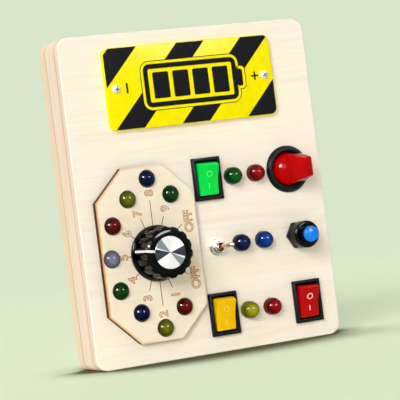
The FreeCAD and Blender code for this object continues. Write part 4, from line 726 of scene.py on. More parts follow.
def makeLabel(look):
    middle = nodeMiddle("label_plate")
    plate = roundedSlab(look["wide"], look["tall"], look["thick"], look["corner"],
                        look["edge"])
    piece = finishPiece(plate, "label_board", "board", [labelYellow],
                        standAt(middle.x, middle.z))
    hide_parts("label_plate")
    top = look["thick"]
    ink = bmesh.new()
    for start in look["stripes"]:
        addShape(ink, stripe(look, start, top))
    piece = finishPiece(ink, "label_stripes", "board", [labelBlack],
                        standAt(middle.x, middle.z))
    # plain gauge of a battery on a yellow patch, with a thin black line round it
    wide, tall, line = look["gauge"]
    nub = (3.2 * mm, 8.5 * mm)
    halo = look["haloWide"]
    thin = 0.35 * mm
    layers = [
        (halo + thin, labelBlack, "gauge_keyline"),
        (halo, labelYellow, "gauge_patch"),
    ]
    for index, (grow, finish, name) in enumerate(layers):
        sheet = roundedSlab(wide + 2 * grow, tall + 2 * grow, look["inkThick"],
                            3.2 * mm + grow)
        bmesh.ops.translate(sheet, verts=sheet.verts,
                            vec=(0, 0, top + (index + 1) * look["inkThick"]))
        knob = roundedSlab(nub[0] + 2 * grow, nub[1] + 2 * grow, look["inkThick"],
                           1.2 * mm + grow / 2)
        addShape(sheet, knob, Matrix.Translation(
            (wide / 2 + nub[0] / 2, 0, top + (index + 1) * look["inkThick"])))
        finishPiece(sheet, name, "board", [finish], standAt(middle.x, middle.z), merge=False)
    height = top + 3 * look["inkThick"]
    body = roundedSlab(wide, tall, look["inkThick"], 3.2 * mm)
    upper = [f for f in body.faces if f.normal.z > 0.9]
    lower = [f for f in body.faces if f.normal.z < -0.9]
    bmesh.ops.inset_region(body, faces=upper + lower, thickness=line)
    inner = [f for f in body.faces if abs(f.normal.z) > 0.9
             and abs(f.calc_center_median().x) < 1 * mm and f.calc_area() > tall * wide / 3]
    bmesh.ops.bridge_loops(body, edges=[e for f in inner for e in f.edges])
    bmesh.ops.delete(body, geom=inner, context="FACES_ONLY")
    addShape(body, roundedSlab(nub[0], nub[1], look["inkThick"], 1.2 * mm),
             Matrix.Translation((wide / 2 + nub[0] / 2 - 0.05 * mm, 0, 0)))
    room = wide - 2 * line - 2.4 * mm
    pitch = room / look["gaugeBars"]
    for bar in range(look["gaugeBars"]):
        slab = roundedSlab(pitch - 2.2 * mm, tall - 2 * line - 3.4 * mm, look["inkThick"],
                           0.8 * mm)
        addShape(body, slab, Matrix.Translation((-room / 2 + pitch * (bar + 0.5), 0, 0)))
    for x, wideMark, tallMark in look["poleMarks"]:
        addBlock(body, wideMark * mm, tallMark * mm, 2 * look["inkThick"], x * mm, 0,
                 -2 * look["inkThick"])
    bmesh.ops.translate(body, verts=body.verts, vec=(0, 0, height))
    finishPiece(body, "label_gauge", "board", [labelBlack], standAt(middle.x, middle.z),
                merge=False)


makeLabel(labelLook)

screwLook = {
    "radius": 2.2 * mm,
    "high": 1.5 * mm,
    "slotWide": 0.6 * mm,
    "slotLong": 2.6 * mm,
    "slotDeep": 0.8 * mm,
}


# Round-headed screws with a cross recess, cut out of the domed head; the cut faces take a dark
# colour, painted shade in the cross.
def makeLabelScrews(look):
    middle = nodeMiddle("label_plate")
    heads = bmesh.new()
    cutter = bmesh.new()
    for side in (-1, 1):
        radius = look["radius"]
        outline = [(0.0, 0.0), (radius - 0.1 * mm, 0.0), (radius, 0.15 * mm),
                   (radius * 0.97, 0.6 * mm), (radius * 0.8, 1.1 * mm),
                   (radius * 0.5, 1.4 * mm), (0.0, look["high"])]
        head = turned(outline, 40)
        addShape(heads, head, Matrix.Translation((side * labelLook["screwX"], 0, 0)))
        turn = math.radians(20 * side + 10)
        for quarter in (0, math.pi / 2):
            addBlock(cutter, look["slotLong"], look["slotWide"], look["slotDeep"] * 2,
                     side * labelLook["screwX"], 0, look["high"] - look["slotDeep"],
                     turn + quarter)
    place = standAt(middle.x, middle.z, labelLook["thick"])
    piece = finishPiece(heads, "label_screw_heads", "board", [screwSatin], place, merge=False)
    tool = finishPiece(cutter, "slot_cutter", "board", [slotShade], place, merge=False)
    cut = piece.modifiers.new("cross", "BOOLEAN")
    cut.object = tool
    cut.solver = "EXACT"
    cut.material_mode = "TRANSFER"
    cut.use_self = True
    applyModifiers(piece)
    bpy.data.objects.remove(tool)
    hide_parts("label_screws")


makeLabelScrews(screwLook)
print("label ready")

dialLook = {
    "thick": 3.0 * mm,
    "digitTall": 4.2 * mm,
    "wordTall": 4.3 * mm,
    "line": 0.13 * mm,
    "bold": 0.12 * mm,
    "tickWide": 0.36 * mm,
    "digits": {
        "8": (0.0, 29.2), "7": (-7.3, 20.2), "9": (7.4, 20.9), "6": (-14.0, 11.1),
        "5": (-17.2, 0.0), "4": (-14.0, -11.3), "3": (-7.4, -20.8), "2": (-0.2, -29.4),
        "1": (7.4, -21.0),
    },
    "words": ((18.9, 13.4), (18.9, -14.2)),
    "ticks": {
        90: (13.0, 25.6), -90: (13.0, 25.6), 109: (13.0, 18.4), 70.5: (13.0, 18.4),
        -109: (13.0, 18.4), -70.5: (13.0, 18.4), 140.6: (13.0, 15.6), -140.6: (13.0, 15.6),
        180: (13.0, 15.0), 38.7: (13.0, 19.6), -38.7: (13.0, 19.6),
    },
}


def makeDialMarks(look):
    axis = nodeMiddle("knob_body")
    place = standAt(axis.x, axis.z, look["thick"])
    marks = bmesh.new()
    scorched = bmesh.new()
    quarter = math.radians(90)
    texts = [(digit, look["digitTall"], spot) for digit, spot in look["digits"].items()]
    texts += [("OFF", look["wordTall"], spot) for spot in look["words"]]
    for words, tall, (x, y) in texts:
        centre = (x * mm, y * mm, 0)
        addShape(marks, letters(words, tall, centre, quarter, line=look["line"],
                                bold=look["bold"]))
        addShape(scorched, letters(words, tall, centre, quarter,
                                   bold=look["bold"] + look["line"] * 1.5))
    finishPiece(scorched, "dial_scorch", "board", [scorch], place, merge=False)
    for angle, (start, end) in look["ticks"].items():
        turn = math.radians(angle)
        middle = (start + end) / 2 * mm
        addBlock(marks, (end - start) * mm, look["tickWide"], 0.16 * mm,
                 middle * math.cos(turn), middle * math.sin(turn), -0.1 * mm, turn)
    finishPiece(marks, "dial_engraving", "board", [engraving], place, merge=False)


makeDialMarks(dialLook)
print("dial ready")

knobLook = {
    "foot": 3.7 * mm,
    "skirtRadius": 13.6 * mm,
    "skirtThick": 2.2 * mm,
    "slopeHigh": 1.3 * mm,
    "slopeRadius": 12.7 * mm,
    "gripRadius": 12.4 * mm,
    "topRadius": 10.5 * mm,
    "bevelHigh": 1.2 * mm,
    "bevelSteps": [(-0.35 * mm, 1.0), (-0.08 * mm, 0.992), (0.15 * mm, 0.975)],
    "topSteps": [(0.2 * mm, 0.875), (0.04 * mm, 0.856), (0.0, 0.847)],  # fall, share of grip
    "high": 16.0 * mm,
    "flutes": 14,
    "fluteRadius": 1.7 * mm,
    "fluteDeep": 0.85 * mm,
    "perFlute": 16,
    "discRadius": 7.8 * mm,
    "discThick": 0.9 * mm,
    "discProud": 0.3 * mm,
    "lineAngle": 170.5,
    "lineWide": 1.1 * mm,
    "hollowRadius": 8.5 * mm,
    "hollowHigh": 4.2 * mm,
    "coreRadius": 4.77 * mm,
    "grubRadius": 1.52 * mm,
}


# Radius of the fluted grip at an angle; a land lies under the white line.
def fluteRadiusAt(angle, look):
    pitch = 2 * math.pi / look["flutes"]
    fromFlute = (angle - math.radians(look["lineAngle"])) % pitch - pitch / 2
    ring = look["gripRadius"] + look["fluteRadius"] - look["fluteDeep"]
    inside = look["fluteRadius"] ** 2 - (ring * math.sin(fromFlute)) ** 2
    if inside <= 0:
        return look["gripRadius"]
    return min(look["gripRadius"], ring * math.cos(fromFlute) - math.sqrt(inside))


# Draws a round cap inwards through rings of height and radius; gives the last cap.
def sinkRound(shape, face, rings):
    for high, radius in rings:
        step = bmesh.ops.extrude_face_region(shape, geom=face)
        bmesh.ops.delete(shape, geom=face, context="FACES")
        face = [f for f in step["geom"] if isinstance(f, bmesh.types.BMFace)]
        for vert in [v for v in step["geom"] if isinstance(v, bmesh.types.BMVert)]:
            angle = math.atan2(vert.co.y, vert.co.x)
            vert.co = Vector((radius * math.cos(angle), radius * math.sin(angle), high))
    return face


def makeKnob(look):
    axis = nodeMiddle("knob_body")
    place = standAt(axis.x, axis.z)
    foot = look["foot"]
    top = foot + look["high"]
    gripFoot = foot + look["skirtThick"] + look["slopeHigh"]
    soft = 0.3 * mm
    rimTop = foot + look["skirtThick"]
    bevelFoot = top - look["bevelHigh"]
    # rings from the foot up: height, widest radius, and whether the flutes cut into it
    rings = [(foot, look["skirtRadius"] - soft, False), (foot + soft, look["skirtRadius"], False)]
    rings += [(high, radius, False) for radius, high in
              arcPoints(look["skirtRadius"] - 2 * soft, rimTop - 2 * soft, 2 * soft, 0, 60, 4)]
    rings += [(gripFoot, look["slopeRadius"], False), (gripFoot, look["gripRadius"], True)]
    rings += [(bevelFoot + rise, look["gripRadius"] * share, True)
              for rise, share in look["bevelSteps"]]
    rings += [(top - fall, look["gripRadius"] * share, True)
              for fall, share in look["topSteps"]]
    shape = bmesh.new()
    count = look["flutes"] * look["perFlute"]
    bmesh.ops.create_circle(shape, cap_ends=True, segments=count, radius=rings[0][1],
                            matrix=Matrix.Translation((0, 0, foot)))
    face = shape.faces[:]
    for step, (high, widest, fluted) in enumerate(rings[1:]):
        lift = bmesh.ops.extrude_face_region(shape, geom=face)
        if step > 0:
            bmesh.ops.delete(shape, geom=face, context="FACES")
        face = [f for f in lift["geom"] if isinstance(f, bmesh.types.BMFace)]
        for vert in [v for v in lift["geom"] if isinstance(v, bmesh.types.BMVert)]:
            angle = math.atan2(vert.co.y, vert.co.x)
            radius = min(fluteRadiusAt(angle, look), widest) if fluted else widest
            vert.co = Vector((radius * math.cos(angle), radius * math.sin(angle), high))
    # seat of the disc in the top, hollow and core in the underside
    seatRadius = look["discRadius"] + 0.05 * mm
    face = sinkRound(shape, face, [(top, seatRadius),
                                   (top + look["discProud"] - look["discThick"], seatRadius)])
    under = [f for f in shape.faces if len(f.verts) == count
             and abs(f.calc_center_median().z - foot) < 1e-6]
    coreTop = boardPlace["faceY"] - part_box("knob_insert")[0].y
    ceiling = foot + look["hollowHigh"]
    sinkRound(shape, under, [(foot, look["hollowRadius"]), (ceiling, look["hollowRadius"]),
                             (ceiling, look["coreRadius"]), (coreTop, look["coreRadius"])])
    shell = finishPiece(shape, "knob_shell", "knob", [blackGloss], place, sharpAt=24,
                        merge=False)
    # side hole of the set screw
    grub = nodeMiddle("knob_set_screw")
    drill = turned([(0.0, 0.0), (look["grubRadius"], 0.0), (look["grubRadius"], 10 * mm),
                    (0.0, 10 * mm)], 32)
    turn = math.atan2(grub.z - axis.z, grub.x - axis.x)
    aim = (Matrix.Rotation(turn, 4, "Z")
           @ Matrix.Translation((look["coreRadius"] - 1 * mm, 0, boardPlace["faceY"] - grub.y))
           @ Matrix.Rotation(math.radians(90), 4, "Y"))
    bmesh.ops.transform(drill, matrix=aim, verts=drill.verts)
    tool = finishPiece(drill, "hole_cutter", "knob", [], place)
    cut = shell.modifiers.new("set_screw_hole", "BOOLEAN")
    cut.object = tool
    cut.solver = "EXACT"
    applyModifiers(shell, 24)
    bpy.data.objects.remove(tool)
    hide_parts("knob_body")
    # spun disc: raised rim line, faced middle
    radius = look["discRadius"]
    low = top + look["discProud"] - look["discThick"]
    high = top + look["discProud"]
    disc = turned([(0.0, low), (radius, low), (radius, high - 0.15 * mm),
                   (radius - 0.15 * mm, high), (radius - 0.75 * mm, high),
                   (radius - 0.85 * mm, high - 0.07 * mm), (0.0, high - 0.07 * mm)], 96)
    plate = finishPiece(disc, "knob_disc_spun", "knob", [faced], place)
    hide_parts("knob_disc")
    # white line over the top, down the bevel and grip and across the skirt
    proud = 0.05 * mm
    path = [(radius + 0.1 * mm, top), (look["topRadius"], top),
            (look["gripRadius"], bevelFoot), (look["gripRadius"], gripFoot),
            (look["slopeRadius"], gripFoot), (look["skirtRadius"] - 0.6 * mm, rimTop - 0.1 * mm)]
    line = bmesh.new()
    for (r1, h1), (r2, h2) in zip(path, path[1:]):
        along = Vector((r2 - r1, 0, h2 - h1))
        if along.length < 1e-6:
            continue
        angle = math.atan2(along.z, along.x)
        block = bmesh.new()
        addBlock(block, along.length + proud, look["lineWide"], 2 * proud, 0, 0, -proud)
        aim = (Matrix.Rotation(math.radians(look["lineAngle"]), 4, "Z")
               @ Matrix.Translation(((r1 + r2) / 2, 0, (h1 + h2) / 2))
               @ Matrix.Rotation(-angle, 4, "Y"))
        addShape(line, block, aim)
    pointer = finishPiece(line, "knob_line", "knob", [whiteLine], place, merge=False)
    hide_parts("knob_pointer")


makeKnob(knobLook)
print("knob ready")

rockerLook = {
    "bezelWide": 15.0 * mm,
    "bezelTall": 21.0 * mm,
    "bezelThick": 2.0 * mm,
    "bodyWide": 13.0 * mm,
    "bodyDeep": 11.5 * mm,
    "openWide": 10.7 * mm,
    "floor": 5.0 * mm,
    "wide": 10.1 * mm,
    "radius": 8.05 * mm,
    "pivot": 0.9 * mm,
    "waist": 2.0 * mm,
    "vee": 8.2,
    "below": 2.5 * mm,
    "tilt": 16.0,
    "edge": 0.35 * mm,
    "bezelEdge": 0.35 * mm,
    "markRadius": 1.2 * mm,
    "markAway": 3.1 * mm,
}
rockers = {  # button finish, mark finish and line width
    "green": (greenButton, greenMark, 0.32 * mm),
    "yellow": (yellowButton, yellowMark, 0.3 * mm),
    "red": (redButton, redMark, 0.42 * mm),
}


def makeRocker(colour, finish, markFinish, line, look):
    middle = nodeMiddle("rocker_housing_" + colour)
    place = standAt(middle.x, middle.z)
    # bezel: frame with soft edges on a deep body, with a well for the button
    halfWide = look["bezelWide"] / 2
    halfTall = look["bezelTall"] / 2
    top = look["bezelThick"]
    bezel = bmesh.new()
    addBlock(bezel, look["bezelWide"], look["bezelTall"], top)
    sinkFace(bezel, 1, (look["bezelWide"] - look["openWide"]) / 2,
             look["floor"] - look["bodyDeep"])
    sinkFace(bezel, -1, (look["bezelWide"] - look["bodyWide"]) / 2, -look["bodyDeep"])
    outer = []
    inner = []
    for edge in bezel.edges:
        ends = [v.co for v in edge.verts]
        if any(co.z < -1e-6 for co in ends):
            continue
        atRim = all(abs(abs(co.x) - halfWide) < 1e-6 or abs(abs(co.y) - halfTall) < 1e-6
                    for co in ends)
        upright = abs(ends[0].z - ends[1].z) > top / 2
        if atRim and (upright or ends[0].z > top / 2):
            outer.append(edge)
        elif not atRim and all(co.z > top - 1e-6 for co in ends):
            inner.append(edge)
    bmesh.ops.bevel(bezel, geom=outer, offset=look["bezelEdge"], offset_type="OFFSET",
                    segments=3, profile=0.5, affect="EDGES", material=-1)
    inner = [e for e in inner if e.is_valid and len(e.link_faces) == 2
             and e.calc_face_angle() > 1]
    bmesh.ops.bevel(bezel, geom=inner, offset=look["bezelEdge"] / 2, offset_type="OFFSET",
                    segments=2, profile=0.5, affect="EDGES", material=-1)
    piece = finishPiece(bezel, "bezel_" + colour, "board", [blackSatin], place)
    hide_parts("rocker_housing_" + colour)
    # button: side outline of a drum with a shallow vee, pushed out to its width
    tilted = (place @ Matrix.Translation((0, 0, look["pivot"]))
              @ Matrix.Rotation(math.radians(look["tilt"]), 4, "X"))
    slope = math.tan(math.radians(look["vee"]))
    radius = look["radius"]
    # where the face meets the drum
    reach = solveFaceEnd(radius, look["waist"], slope)
    top = look["waist"] + reach * slope
    startAngle = math.degrees(math.atan2(top, reach))
    endAngle = -math.degrees(math.asin(look["below"] / radius))
    rightEnd = arcPoints(0, 0, radius, endAngle, startAngle, 10)
    outline = rightEnd + [(0.0, look["waist"])] + [(-y, z) for y, z in reversed(rightEnd)]
    button = bmesh.new()
    verts = [button.verts.new((-look["wide"] / 2, y, z)) for y, z in outline]
    side = button.faces.new(verts)
    pushed = bmesh.ops.extrude_face_region(button, geom=[side])
    for vert in [v for v in pushed["geom"] if isinstance(v, bmesh.types.BMVert)]:
        vert.co.x = look["wide"] / 2
    sharp = []
    for edge in button.edges:
        if len(edge.link_faces) == 2 and edge.calc_face_angle() > math.radians(30):
            sharp.append(edge)
    bmesh.ops.bevel(button, geom=sharp, offset=look["edge"], offset_type="OFFSET", segments=3,
                    profile=0.5, affect="EDGES", material=-1)
    piece = finishPiece(button, "button_" + colour, "rocker_" + colour, [finish], tilted,
                        sharpAt=25)
    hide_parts("rocker_" + colour)
    # pale marks: a ring on the upper half and a bar on the lower half
    marks = bmesh.new()
    radius = look["markRadius"]
    ring = turned([(radius, 0.0), (radius + line, 0.0), (radius + line, 0.04 * mm),
                   (radius, 0.04 * mm), (radius, 0.0)], 40)
    vee = math.radians(look["vee"])
    onUpper = (Matrix.Translation((0, 0, look["waist"])) @ Matrix.Rotation(vee, 4, "X")
               @ Matrix.Translation((0, look["markAway"], -0.01 * mm)))
    onLower = (Matrix.Translation((0, 0, look["waist"])) @ Matrix.Rotation(-vee, 4, "X")
               @ Matrix.Translation((0, -look["markAway"], -0.01 * mm)))
    addShape(marks, ring, onUpper)
    bar = bmesh.new()
    addBlock(bar, line * 1.1, 2.7 * mm, 0.04 * mm)
    addShape(marks, bar, onLower)
    finishPiece(marks, "marks_" + colour, "rocker_" + colour, [markFinish], tilted,
                merge=False)


# Insets the top (1) or bottom (-1) face of a block and moves the inner part to a height.
def sinkFace(shape, side, margin, height):
    found = [f for f in shape.faces if f.normal.z * side > 0.99]
    bmesh.ops.inset_region(shape, faces=found, thickness=margin)
    moved = bmesh.ops.extrude_face_region(shape, geom=found)
    bmesh.ops.delete(shape, geom=found, context="FACES")
    for vert in [v for v in moved["geom"] if isinstance(v, bmesh.types.BMVert)]:
        vert.co.z = height


# Distance from the middle at which a rocker's sloping face meets its drum.
def solveFaceEnd(radius, waist, slope):
    a = 1 + slope ** 2
    b = 2 * waist * slope
    c = waist ** 2 - radius ** 2
    return (-b + math.sqrt(b * b - 4 * a * c)) / (2 * a)


for colour, (finish, markFinish, line) in rockers.items():
    makeRocker(colour, finish, markFinish, line, rockerLook)
print("rockers ready")

toggleLook = {
    "bushRadius": 3.0 * mm,
    "proud": 4.2 * mm,
    "boreRadius": 2.1 * mm,
    "threadPitch": 0.6 * mm,
    "threadDeep": 0.22 * mm,
    "nutFlats": 7.0 * mm,
    "nutThick": 2.0 * mm,
    "washerRadius": 4.0 * mm,
    "washerThick": 0.5 * mm,
    "pivot": 1.6 * mm,
    "ballRadius": 2.05 * mm,
    "neckRadius": 1.0 * mm,
    "tipRadius": 1.2 * mm,
    "reach": 12.5 * mm,
    "lean": 12.5,
    "turn": 18.0,
}


# Hexagon nut with chamfered corners and a round hole.
def hexNut(flats, thick, holeRadius, z=0.0):
    shape = bmesh.new()
    bmesh.ops.create_cone(shape, cap_ends=True, cap_tris=False, segments=6,
                          radius1=flats / math.sqrt(3), radius2=flats / math.sqrt(3),
                          depth=thick, matrix=Matrix.Translation((0, 0, z + thick / 2)))
    corners = [e for e in shape.edges if abs(e.verts[0].co.z - e.verts[1].co.z) > thick / 2]
    bmesh.ops.bevel(shape, geom=corners, offset=flats * 0.02, offset_type="OFFSET", segments=2,
                    profile=0.5, affect="EDGES", material=-1)
    rims = [e for e in shape.edges
            if abs(e.verts[0].co.z - e.verts[1].co.z) < 1e-7
            and len(e.link_faces) == 2 and e.calc_face_angle() > 1.0]
    bmesh.ops.bevel(shape, geom=rims, offset=flats * 0.035, offset_type="OFFSET", segments=2,
                    profile=0.5, affect="EDGES", material=-1)
    for face in [f for f in shape.faces if abs(f.normal.z) > 0.99]:
        bmesh.ops.inset_region(shape, faces=[face],
                               thickness=max(flats / 2 - holeRadius - flats * 0.05, 0.1 * mm))
    caps = [f for f in shape.faces if abs(f.normal.z) > 0.99 and len(f.verts) > 6
            and f.calc_center_median().to_2d().length < 1e-5]
    for cap in caps:
        for vert in cap.verts:
            angle = math.atan2(vert.co.y, vert.co.x)
            vert.co.x = holeRadius * math.cos(angle)
            vert.co.y = holeRadius * math.sin(angle)
    bmesh.ops.bridge_loops(shape, edges=[e for f in caps for e in f.edges])
    bmesh.ops.delete(shape, geom=caps, context="FACES_ONLY")
    return shape


def makeToggle(look):
    middle = nodeMiddle("toggle_bush")
    place = standAt(middle.x, middle.z)
    # washer and nut
    washer = turned([(3.1 * mm, 0.0), (look["washerRadius"], 0.0),
                     (look["washerRadius"], look["washerThick"] - 0.1 * mm),
                     (look["washerRadius"] - 0.1 * mm, look["washerThick"]),
                     (3.1 * mm, look["washerThick"]), (3.1 * mm, 0.0)], 48)
    nut = hexNut(look["nutFlats"], look["nutThick"], look["bushRadius"] + 0.05 * mm,
                 look["washerThick"])
    bmesh.ops.rotate(nut, verts=nut.verts, matrix=Matrix.Rotation(math.radians(12), 3, "Z"))
    addShape(washer, nut)
    piece = finishPiece(washer, "toggle_hardware", "board", [nickel], place, merge=False)
    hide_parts("toggle_nut")
    # threaded bush: grooves turned into the outline above the nut
    outline = [(look["boreRadius"], -5.0 * mm), (look["bushRadius"], -5.0 * mm),
               (look["bushRadius"], 0.2 * mm)]
    height = 0.2 * mm
    while height < look["proud"] - look["threadPitch"]:
        outline.append((look["bushRadius"], height + look["threadPitch"] * 0.2))
        outline.append((look["bushRadius"] - look["threadDeep"],
                        height + look["threadPitch"] * 0.5))
        outline.append((look["bushRadius"], height + look["threadPitch"] * 0.8))
        height += look["threadPitch"]
    outline += [(look["bushRadius"] - 0.3 * mm, look["proud"]),
                (look["boreRadius"] + 0.15 * mm, look["proud"]),
                (look["boreRadius"], look["proud"] - 0.15 * mm),
                (look["boreRadius"], -5.0 * mm)]
    bush = turned(outline, 48)
    piece = finishPiece(bush, "toggle_thread", "board", [threadNickel], place)
    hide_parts("toggle_bush")
    # lever: ball, slim neck that swells to a round tip
    tip = look["reach"] - look["tipRadius"]
    outline = [(0.0, -3.6 * mm), (0.7 * mm, -3.6 * mm), (0.7 * mm, -1.95 * mm)]
    outline += arcPoints(0, 0, look["ballRadius"], -68, 60, 14)
    outline += [(look["neckRadius"], 2.4 * mm), (look["neckRadius"] * 1.05, 5.0 * mm),
                (look["tipRadius"] * 0.97, tip - 1.0 * mm)]
    outline += arcPoints(0, tip, look["tipRadius"], 0, 90, 10)
    outline[-1] = (0.0, look["reach"])
    lever = turned(outline, 40)
    lean = (place @ Matrix.Translation((0, 0, look["pivot"]))
            @ Matrix.Rotation(math.radians(look["turn"]), 4, "Z")
            @ Matrix.Rotation(math.radians(look["lean"]), 4, "Y"))
    piece = finishPiece(lever, "toggle_bat", "toggle_lever", [leverNickelWarmReflection], lean, sharpAt=40)
    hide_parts("toggle_lever")


makeToggle(toggleLook)
print("toggle ready")

paddleLook = {
    "flangeRadius": 11.75 * mm,
    "flangeTop": 10.95 * mm,
    "flangeThick": 2.2 * mm,
    "barrelRadius": 10.0 * mm,
    "barrelDeep": 13.0 * mm,
    "bowlRadius": 8.6 * mm,
    "bowlDeep": 9.6 * mm,
    "ballRadius": 8.3 * mm,
    "pivot": -1.0 * mm,
    "below": 5.0 * mm,
    "reach": 16.2 * mm,
    "sections": [  # distance from the pivot, thickness, width
        (4.0 * mm, 7.8 * mm, 11.6 * mm),
        (7.0 * mm, 8.8 * mm, 14.4 * mm),
        (16.2 * mm, 3.4 * mm, 9.4 * mm),
    ],
    "lean": 20.0,
    "edge": 0.5 * mm,
}


def makePaddle(look):
    middle = nodeMiddle("paddle_housing")
    place = standAt(middle.x, middle.z)
    thick = look["flangeThick"]
    outline = [(0.0, -look["barrelDeep"]), (look["barrelRadius"], -look["barrelDeep"]),
               (look["barrelRadius"], 0.0), (look["flangeRadius"], 0.0),
               (look["flangeRadius"], 0.5 * mm)]
    outline += arcPoints(look["flangeTop"] - 0.5 * mm, thick - 0.5 * mm, 0.5 * mm, 30, 90, 4)
    outline += [(look["bowlRadius"] + 0.9 * mm, thick), (look["bowlRadius"] + 0.35 * mm,
                thick - 0.35 * mm), (look["bowlRadius"], thick - 0.8 * mm),
                (look["bowlRadius"], -look["bowlDeep"]), (0.0, -look["bowlDeep"])]
    ring = turned(outline, 96)
    piece = finishPiece(ring, "paddle_ring", "board", [blackSatin], place)
    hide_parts("paddle_housing")
    # handle: trimmed ball, and on it a neck that widens to a ridge and a blade that tapers
    ball = bmesh.new()
    bmesh.ops.create_uvsphere(ball, u_segments=64, v_segments=40, radius=look["ballRadius"])
    bmesh.ops.bisect_plane(ball, geom=ball.verts[:] + ball.edges[:] + ball.faces[:],
                           plane_co=(0, 0, -look["below"]), plane_no=(0, 0, -1),
                           clear_outer=True)
    bmesh.ops.holes_fill(ball, edges=[e for e in ball.edges if e.is_boundary], sides=0)
    grip = bmesh.new()
    sections = look["sections"]
    addBlock(grip, sections[0][1], sections[0][2], sections[1][0] - sections[0][0],
             0, 0, sections[0][0])
    for reach, thick, wide in sections[1:]:
        cap = [f for f in grip.faces if f.normal.z > 0.9]
        if reach > sections[1][0]:
            lift = bmesh.ops.extrude_face_region(grip, geom=cap)
            bmesh.ops.delete(grip, geom=cap, context="FACES")
            verts = [v for v in lift["geom"] if isinstance(v, bmesh.types.BMVert)]
        else:
            verts = cap[0].verts
        for vert in verts:
            vert.co = Vector((math.copysign(thick / 2, vert.co.x),
                              math.copysign(wide / 2, vert.co.y), reach))
    sharp = [e for e in grip.edges if any(v.co.z > sections[0][0] + 1e-6 for v in e.verts)]
    bmesh.ops.bevel(grip, geom=sharp, offset=look["edge"], offset_type="OFFSET", segments=4,
                    profile=0.5, affect="EDGES", material=-1)
    lean = (place @ Matrix.Translation((0, 0, look["pivot"]))
            @ Matrix.Rotation(math.radians(look["lean"]), 4, "Y"))
    handle = finishPiece(ball, "paddle_handle", "paddle_lever", [redHandle], lean)
    tool = finishPiece(grip, "grip_joiner", "paddle_lever", [redHandle], lean)
    join = handle.modifiers.new("grip", "BOOLEAN")
    join.operation = "UNION"
    join.object = tool
    join.solver = "EXACT"
    applyModifiers(handle, 30)
    bpy.data.objects.remove(tool)
    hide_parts("paddle_lever")


makePaddle(paddleLook)
print("paddle ready")

pushLook = {
    "nutFlats": 12.7 * mm,
    "nutThick": 3.6 * mm,
    "shankRadius": 5.9 * mm,
    "collarRadius": 6.75 * mm,
    "collarHigh": 6.4 * mm,
    "lip": 1.0 * mm,
    "capRadius": 3.9 * mm,
    "capProud": 5.4 * mm,
    "capRimRadius": 4.6 * mm,
    "litCapHigh": 2.6 * mm,
    "nutTurn": 30.0,
    "deep": 9.0 * mm,
    "boardThick": 5.0 * mm,
}


def makePushButton(look):
    middle = nodeMiddle("push_body")
    place = standAt(middle.x, middle.z)
    shank = look["shankRadius"]
    nuts = hexNut(look["nutFlats"], look["nutThick"], shank + 0.05 * mm)
    addShape(nuts, hexNut(look["nutFlats"], look["nutThick"], shank + 0.05 * mm,
                          -look["boardThick"] - look["nutThick"]))
    bmesh.ops.rotate(nuts, verts=nuts.verts,
                     matrix=Matrix.Rotation(math.radians(look["nutTurn"]), 3, "Z"))
    piece = finishPiece(nuts, "push_hex_nuts", "board", [blackGloss], place, merge=False)
    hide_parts("push_nuts")
    low = look["nutThick"]
    high = low + look["collarHigh"]
    radius = look["collarRadius"]
    foot = -look["boardThick"] - look["deep"]
    mouth = look["capRadius"] + 0.1 * mm
    room = look["capRimRadius"] + 0.1 * mm
    outline = [(0.0, foot), (shank, foot), (shank, low), (radius - 0.2 * mm, low),
               (radius, low + 0.2 * mm), (radius, high - 1.3 * mm)]
    outline += arcPoints(radius - 1.1 * mm, high - 1.1 * mm, 1.1 * mm, 0, 90, 6)
    outline += [(mouth + 0.3 * mm, high), (mouth, high - 0.3 * mm),
                (mouth, high - look["lip"]), (room, high - look["lip"]),
                (room, low), (3.15 * mm, low), (3.15 * mm, -1.4 * mm), (0.0, -1.4 * mm)]
    collar = turned(outline, 72)
    piece = finishPiece(collar, "push_collar", "board", [blackGloss], place)
    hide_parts("push_body")
    capTop = high + look["capProud"]
    capRadius = look["capRadius"]
    rimTop = high - look["lip"] - 0.1 * mm
    outline = [(0.0, 2.1 * mm), (1.7 * mm, 2.1 * mm), (1.7 * mm, rimTop - 1.0 * mm),
               (look["capRimRadius"], rimTop - 1.0 * mm), (look["capRimRadius"], rimTop),
               (capRadius, rimTop), (capRadius, capTop - look["litCapHigh"]),
               (capRadius, capTop - 1.5 * mm)]
    outline += [(capRadius - 0.06 * mm, capTop - 1.15 * mm),
                (capRadius - 0.28 * mm, capTop - 0.78 * mm),
                (capRadius - 0.75 * mm, capTop - 0.45 * mm),
                (capRadius - 1.6 * mm, capTop - 0.2 * mm),
                (capRadius - 2.9 * mm, capTop - 0.04 * mm), (0.0, capTop)]
    cap = turned(outline, 64)
    # faces below the lit upper part take darker navy, painted shade where the collar shades the
    # cap's side
    for part in cap.faces:
        if part.calc_center_median().z < capTop - look["litCapHigh"]:
            part.material_index = 1
    piece = finishPiece(cap, "push_top", "push_cap", [blueCap, capShadeNavy], place, sharpAt=45)
    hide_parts("push_cap")


makePushButton(pushLook)
print("push button ready")

stageLook = {
    "floor": "#E3EFCF",
    "far": "#DAE6C9",
    "bounce": "#E9E8DF",
    "contact": "#4C4D28",
    "contactReach": 0.07,
    "evenNear": 0.0,        # share of the written colour that needs no light
    "fadeFrom": 0.3,
    "fadeTo": 1.2,
    "halfWide": 3.0,
    "front": -3.0,
    "wallY": 1.9,
    "wallHigh": 2.2,
    "bend": 0.6,
}


